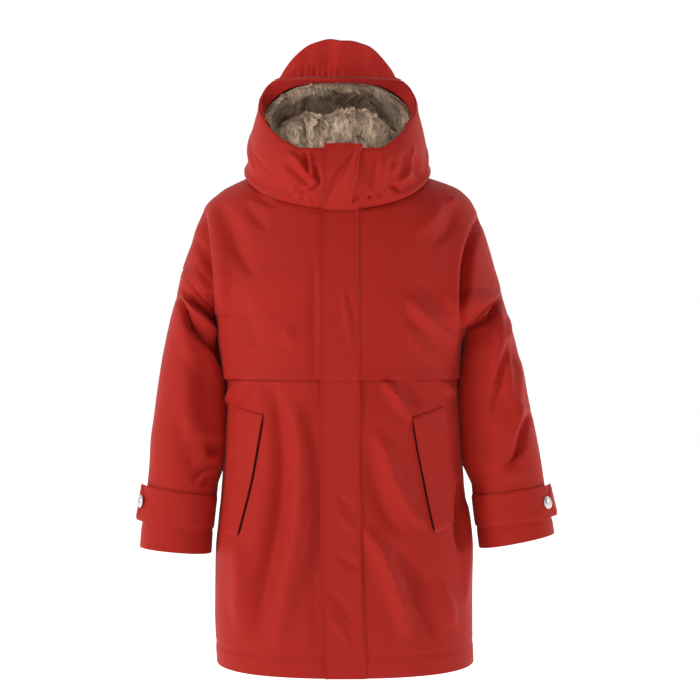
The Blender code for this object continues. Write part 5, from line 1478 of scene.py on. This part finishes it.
# Folds of the lining as it stands into the hood, and valleys between the lobes of the fold behind the
# chin, both in the crease plane
LINING_FOLDS = (
    (+0.0100, 0.0110, 1.0, +0.012, +0.125, +0.014, +0.105, +0.019, +0.080),
    (-0.0050, 0.0035, 1.0, +0.027, +0.116, +0.029, +0.100, +0.034, +0.082),
    (+0.0050, 0.0110, 1.0, +0.052, +0.112, +0.054, +0.096, +0.058, +0.078),
    (-0.0040, 0.0045, 1.0, +0.071, +0.108, +0.072, +0.094),
    (-0.0060, 0.0140, 1.0, -0.022, +0.118, -0.024, +0.100, -0.022, +0.080),
    (+0.0060, 0.0090, 1.0, -0.056, +0.116, -0.060, +0.100, -0.066, +0.084),
    (-0.0040, 0.0050, 1.0, -0.074, +0.106, -0.078, +0.092),
)
LOBES = (
    (-0.0110, 0.0042, 1.0, -0.0530, +0.082, -0.0500, +0.066, -0.0490, +0.044),
    (-0.0060, 0.0030, 1.0, -0.0310, +0.086, -0.0300, +0.070, -0.0330, +0.050),
    (-0.0060, 0.0030, 1.0, -0.0170, +0.084, -0.0180, +0.072, -0.0140, +0.052),
    (+0.0050, 0.0070, 1.0, -0.0660, +0.074, -0.0640, +0.060),
    (+0.0040, 0.0060, 1.0, -0.0400, +0.080, -0.0400, +0.060),
    (+0.0060, 0.0100, 1.0, +0.0060, +0.084, +0.0060, +0.060),
    (-0.0050, 0.0036, 1.0, +0.0250, +0.088, +0.0210, +0.070, +0.0230, +0.050),
    (+0.0050, 0.0090, 1.0, +0.0400, +0.080, +0.0380, +0.060),
    (-0.0050, 0.0036, 1.0, +0.0520, +0.078, +0.0500, +0.064, +0.0540, +0.050),
)
FUR_LUMPS = ((0.0015, 30.0), (0.0006, 80.0))   # lumps of the pile: height and waves a metre
LOCKS = 60.0            # locks of strands lie together: waves a metre
TONES = 24.0            # lighter and darker places: waves a metre
STRAND_STEPS = np.array([0.0, 0.38, 0.72, 1.0])
STRAND_WIDTH = 0.00042
STRAND_ROOT = 0.0006    # how deep it stands in the pile
STRAND_TIP = 0.15       # the width left at its tip
STAND, LIE, LOCK, STRAY = 0.50, 0.75, 0.95, 0.13       # what a strand's way is made of
BEND_LIE, BEND_LOCK, DROOP = 0.30, 0.20, np.array([0, 0, -0.22])    # and what it bends towards
LOCK_SIZE, TONE_SIZE = 0.45, 0.4        # how strong the locks and the tones are
SHORTEST, LONGER, LOCK_LONGER = 0.65, 0.6, 0.35         # lengths of strands, as shares
SHADE, SHADE_TONE, SHADE_STRAY = 0.58, 0.42, 0.11       # a strand's shade, and what changes it
SHADE_RISE, SHADE_MIDDLE = 0.30, 0.45   # how much it pales towards its tip
LINING_COMB, FOLD_COMB = np.array([0, -0.35, -1.0]), np.array([0.15, -1.0, -0.55])
LINING_SEEN = 0.75      # the share of the lining, from its edge, that has strands
RIM_COMB = 0.016        # over which height the strands turn to the rim
LINING_CALM, FOLD_CALM = 0.012, 0.010   # how far from their edges their folds and lumps are whole
LINING_BACK = 0.0008    # the sheet's back, in from the solid's
LINING_STRANDS, FOLD_STRANDS = (30000, 0.0085, 11), (22000, 0.0080, 12)     # number, length, seed


def make_visor():
    top = visor_points()
    tall = (top[0] - top[-1])[:, 2] / VISOR_UP
    full = ease(VISOR_LOW, 0.30, tall)[:, None]
    kept = VISOR_END_TALL + (1 - VISOR_END_TALL) * ease(VISOR_LOW, 0.12, tall)[:, None]
    top = top[-1] + (top - top[-1]) * kept
    top = top + VISOR_FRONT * full * np.linspace(0, 1, len(top))[:, None, None]
    grid, tall = finer(top, VISOR_FINER), finer(tall[None, :, None], VISOR_FINER)[0, :, 0]
    normals = normals_of(grid)
    _, v = spans(grid)
    up = v[-1] - v
    height = np.zeros(grid.shape[:2])
    for x, wide, deep in GATHERS:
        near = hump(grid[..., 0] - x - GATHER_LEAN * up, wide)
        height -= deep * near * np.exp(-(np.abs(up) / GATHER_RISE) ** 1.5)
    for size, waves, phase in VISOR_BANDS:
        height += size * np.sin(grid[..., 0] * waves + phase) * np.clip(up / BANDS_FROM, 0, 1)
    height *= ease(0.03, 0.25, tall)
    wall = VISOR_WALL * (VISOR_END_WALL + (1 - VISOR_END_WALL) * ease(0.03, 0.4, tall))[None, :, None]
    # The visor is shell cloth; the darker facing cloth on it is painted shade on its downward face
    lay("visor", raised(grid, normals, height), normals, flat=(0.18, 0.055), area=0.0073,
        thickness=wall, material=SHADED_FACING)


def make_facing():
    grid = facing_grid()
    normals = normals_of(grid)
    outer = grid + normals * CLOTH
    outer = raised(outer, normals, 0.5 * wobble(outer) * calm(outer, ["top", "bottom"], 0.004))
    # The darker facing cloth here is painted shade inside the rim
    lay("hood_facing", outer, normals, flat=(0.36, 0.014), slot="facing", material=SHADED_FACING)


def ripples(points, waves, seed, count=16):
    """Smooth uneven values about -1 to 1 at points, from waves in many directions, so many to a metre."""
    draw = np.random.default_rng(seed)
    way = unit(draw.normal(0, 1, (count, 3))) * draw.uniform(0.5, 1.4, (count, 1)) * waves * 2 * pi
    return np.sin(points @ way.T + draw.uniform(0, 2 * pi, count)).sum(-1) / np.sqrt(count)


def lumps(grid):
    return sum(size * ripples(grid, waves, seed) for seed, (size, waves) in enumerate(FUR_LUMPS))


def make_strands(name, base, normals, comb, count, length, seed, closed=False):
    """Short ribbons of fur on a grid: they stand along the normals, lean along comb and lie in locks."""
    draw = np.random.default_rng(seed)
    if closed:
        base, normals, comb = (np.concatenate([part, part[:, :1]], 1) for part in (base, normals, comb))
    across, down = np.diff(base, axis=1)[:-1], np.diff(base, axis=0)[:, :-1]
    area = np.linalg.norm(np.cross(across, down), axis=-1).ravel()
    row, column = np.divmod(draw.choice(len(area), count, p=area / area.sum()), base.shape[1] - 1)
    a, b = draw.random((2, count, 1))

    def read(part):
        top = part[row, column] * (1 - a) + part[row, column + 1] * a
        low = part[row + 1, column] * (1 - a) + part[row + 1, column + 1] * a
        return top * (1 - b) + low * b

    foot, stand, lie = read(base), unit(read(normals)), unit(read(comb))
    lock = LOCK_SIZE * np.stack([ripples(foot, LOCKS, seed + axis) for axis in (20, 30, 40)], -1)
    tone = TONE_SIZE * ripples(foot, TONES, seed + 50)
    way = unit(stand * STAND + lie * LIE + lock * LOCK + draw.normal(0, STRAY, (count, 3)))
    tall = length * (SHORTEST + LONGER * draw.random((count, 1))) * (1 + LOCK_LONGER * lock[:, :1])
    sideways = unit(np.cross(way, draw.normal(0, 1, (count, 3))))
    t = STRAND_STEPS[:, None, None]
    bend = lie * BEND_LIE + DROOP + lock * BEND_LOCK
    line = foot - stand * STRAND_ROOT + way * tall * t + bend * tall * t ** 2
    half = STRAND_WIDTH * (1 - (1 - STRAND_TIP) * t ** 2)
    sides = np.stack([line - sideways * half, line + sideways * half], 2)
    points = sides.transpose(1, 0, 2, 3).reshape(-1, 3)
    steps, strand = len(STRAND_STEPS), np.arange(count)[:, None]
    first = strand * steps * 2 + np.arange(steps - 1) * 2
    faces = np.stack([first, first + 1, first + 3, first + 2], -1).reshape(-1, 4)
    own = SHADE + SHADE_TONE * tone + draw.normal(0, SHADE_STRAY, count)
    shade = np.clip(own[:, None] + SHADE_RISE * (STRAND_STEPS - SHADE_MIDDLE), 0, 1).repeat(2, 1)
    mesh = mesh_of(name, points, faces.tolist(), FUR_STRANDS)
    mesh.attributes.new("shade", "FLOAT", "POINT").data.foreach_set("value", shade.ravel().astype(np.float32))
    mesh.shade_smooth()
    piece = in_scene(name, mesh)
    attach(piece, "root")


def along_surface(grid, normals, way):
    """A direction laid onto a surface at its points."""
    way = np.broadcast_to(way, grid.shape)
    return unit(way - normals * (way * normals).sum(-1, keepdims=True))


def make_lining():
    """The hood's lining, whose pile stands inwards."""
    _, grid, normals = lining_grid()
    inner, into = grid - normals * FUR * 0.5, -normals
    _, v = spans(inner)
    height = strokes(LINING_FOLDS, *pictured(inner)) * ease(-0.03, 0.0, inner[..., 1])
    height = (height + lumps(inner)) * ease(0.0, LINING_CALM, v)
    inner = raised(inner, into, height)
    wall = np.linalg.norm(inner - (grid - normals * LINING_BACK), axis=-1, keepdims=True)
    lay("hood_lining", inner, into, flat=(0.60, 0.20), area=0.076, slot="fur",
        thickness=wall, closed=True, material=PILE)
    to_rim = -unit(np.gradient(inner, axis=0))
    edge = ease(RIM_COMB, 0.0, v)[..., None]
    comb = unit(along_surface(inner, into, LINING_COMB) * (1 - edge) + to_rim * edge)
    seen = slice(0, int(LINING_ROWS * LINING_SEEN))
    make_strands("hood_lining_strands", inner[seen], into[seen], comb[seen], *LINING_STRANDS, closed=True)


def make_fold():
    """The fold of fur behind the chin."""
    grid = fold_grid()
    normals = normals_of(grid)
    _, v = spans(grid)
    height = strokes(LOBES, *pictured(grid)) + lumps(grid)
    height = height * ease(0.0, FOLD_CALM, v) * calm(grid, ["first", "last"])
    grid = raised(grid, normals, height)
    lay("lining_fold", grid, normals, flat=(0.15, 0.16), area=0.022, slot="fur",
        thickness=FOLD_WALL * 0.7, material=PILE)
    comb = along_surface(grid, normals, FOLD_COMB)
    make_strands("lining_fold_strands", grid, normals, comb, *FOLD_STRANDS)


# ---- stitches -----------------------------------------------------------------------------------

STITCH, STITCH_STEP = 0.0030, 0.0040    # length of a stitch, and from one to the next
THREAD_WIDTH, THREAD_HEIGHT, THREAD_SINK = 0.00050, 0.00022, 0.0003
SEWN = (                # piece, with {} for right and left; edge; distances of the rows of stitches from it
    ("front_{}", "bottom", (0.0265,)), ("back", "bottom", (0.0265,)),
    ("placket_skirt", "bottom", (0.0265,)), ("placket_skirt", "first", (0.005,)),
    ("placket_chest", "first", (0.005,)), ("placket_collar", "first", (0.005,)),
    ("placket_collar", "top", (0.005,)), ("yoke_{}", "bottom", (0.006,)),
    ("sleeve_{}", "top", (0.003, 0.009)), ("sleeve_{}", "bottom", (0.0285,)),
    ("hood_right", "first", (0.005,)), ("hood_left", "last", (0.005,)), ("hood_centre", "first", (0.005,)),
    ("hood_centre", "last", (0.005,)), ("hood_{}", "bottom", (0.007,)), ("visor", "top", (0.006, 0.013)),
    ("strap_{}", "top", (0.004,)), ("strap_{}", "bottom", (0.004,)), ("strap_{}", "last", (0.005,)),
    ("welt_{}", "top", (0.0035,)), ("welt_{}", "bottom", (0.0035,)), ("welt_{}", "last", (0.0035,)),
    ("welt_{}", "first", (0.006,)),
)


def inset(surface, edge, distance):
    """A line on a grid at a distance from one of its edges, with its normals."""
    grid, normals = surface
    if edge in ("first", "last"):
        grid, normals = grid.swapaxes(0, 1), normals.swapaxes(0, 1)
    if edge in ("last", "bottom"):
        grid, normals = grid[::-1], normals[::-1]
    length = spans(grid)[1]
    row = np.clip((length < distance).sum(0) - 1, 0, len(grid) - 2)
    column = np.arange(grid.shape[1])
    part = (distance - length[row, column]) / (length[row + 1, column] - length[row, column])
    part = np.clip(part, 0, 1)[:, None]
    return [side[row, column] * (1 - part) + side[row + 1, column] * part for side in (grid, normals)]


def seam_lines():
    """The lines that are sewn, with their normals."""
    for names, edge, distances in SEWN:
        for name in dict.fromkeys(names.format(side) for side in ("right", "left")):
            for distance in distances:
                yield inset(surfaces[name], edge, distance)


def make_stitches():
    starts, ends, ups = [], [], []
    for line, up in seam_lines():
        length = np.concatenate([[0], np.cumsum(np.linalg.norm(np.diff(line, axis=0), axis=-1))])
        at = np.arange(STITCH_STEP, length[-1] - STITCH_STEP, STITCH_STEP)
        for store, place, values in ((starts, at, line), (ends, at + STITCH, line), (ups, at, up)):
            store.append(np.stack([np.interp(place, length, values[:, k]) for k in range(3)], -1))
    start, end, up = np.concatenate(starts), np.concatenate(ends), unit(np.concatenate(ups))
    aside = unit(np.cross(unit(end - start), up)) * THREAD_WIDTH / 2
    rise, sink = up * THREAD_HEIGHT, up * THREAD_SINK
    fifth = (end - start) * 0.2
    corners = [start - aside - sink, start + aside - sink, end + aside - sink, end - aside - sink,
               start + fifth - aside * 0.8 + rise, start + fifth + aside * 0.8 + rise,
               end - fifth + aside * 0.8 + rise, end - fifth - aside * 0.8 + rise]
    points = np.stack(corners, 1).reshape(-1, 3)
    sides = np.array([[4, 5, 6, 7], [0, 1, 5, 4], [1, 2, 6, 5], [2, 3, 7, 6], [3, 0, 4, 7], [3, 2, 1, 0]])
    faces = (np.arange(len(start))[:, None, None] * 8 + sides).reshape(-1, 4)
    linked("stitches", mesh_of("stitches", points, faces.tolist(), THREAD))


# ---- camera, light and floor --------------------------------------------------------------------

VIEW_HEIGHT = 0.966         # what the frame takes in at the coat's middle
FLOOR = -1.03               # the ground under a child of that height
FLOOR_REACH, FLOOR_GLOW = 12.0, 0.84
ROOM_LIGHT, PAPER_LIGHT = 0.10, 1.0
PAPER_BLEND = (0.10, 0.45)  # where the room ends and the paper begins, by how far back one looks
LIT = Vector((0.0, 0.0, -0.3))      # what the lights point at
LIGHTS = (                  # name, place, watts, size
    ("key", (-2.4, -1.3, 0.9), 43, 0.5), ("fill", (0.2, -2.6, 0.3), 4, 0.9),
    ("side", (2.3, -0.2, 0.5), 16, 0.6), ("top", (-0.5, -0.6, 2.2), 4, 0.9))


def make_camera():
    camera = bpy.data.cameras.new("camera")
    camera.sensor_width = 36
    camera.lens = camera.sensor_width * CAMERA_DISTANCE / VIEW_HEIGHT
    holder = in_scene("camera", camera)
    holder.location = (CAMERA_X, -CAMERA_DISTANCE, CAMERA_Z)
    holder.rotation_euler = (pi / 2, 0, 0)
    bpy.context.scene.camera = holder


def make_lights():
    bpy.context.scene.view_settings.view_transform = "Standard"
    for name, place, power, size in LIGHTS:
        light = bpy.data.lights.new(name, "AREA")
        light.energy, light.size = power, size
        holder = in_scene(name, light)
        holder.location = place
        holder.rotation_euler = (LIT - Vector(place)).to_track_quat("-Z", "Y").to_euler()


def make_floor():
    """A pale ground that reaches the horizon."""
    material = Nodes("floor").finish(
        Base_Color=(0.90, 0.90, 0.90, 1), Roughness=0.95, Emission_Color=(1, 1, 1, 1),
        Emission_Strength=FLOOR_GLOW)
    corners = [(x * FLOOR_REACH, y * FLOOR_REACH, FLOOR) for x, y in ((-1, -1), (1, -1), (1, 1), (-1, 1))]
    in_scene("floor", mesh_of("floor", corners, [(0, 1, 2, 3)], material))


def make_world():
    """White paper behind the coat, and a dimmer room on the photographer's side."""
    world = bpy.data.worlds.new("studio")
    world.use_nodes = True
    tree = world.node_tree
    backdrop = tree.nodes["Background"]
    backdrop.inputs["Color"].default_value = (1, 1, 1, 1)
    place = tree.nodes.new("ShaderNodeTexCoord")
    split = tree.nodes.new("ShaderNodeSeparateXYZ")
    rise = tree.nodes.new("ShaderNodeMapRange")
    rise.interpolation_type = "SMOOTHSTEP"
    values = (*PAPER_BLEND, ROOM_LIGHT, PAPER_LIGHT)
    for name, value in zip(("From Min", "From Max", "To Min", "To Max"), values):
        rise.inputs[name].default_value = value
    tree.links.new(place.outputs["Generated"], split.inputs[0])
    tree.links.new(split.outputs["Y"], rise.inputs["Value"])
    tree.links.new(rise.outputs["Result"], backdrop.inputs["Strength"])
    bpy.context.scene.world = world


make_camera()
make_world()
make_lights()
make_floor()
shell = shell_pieces()
make_body(shell)
make_hood(shell)
make_placket()
for body_side in (RIGHT, LEFT):
    make_welt(body_side)
    make_cuff(body_side)
make_visor()
make_facing()
make_lining()
make_fold()
make_stitches()
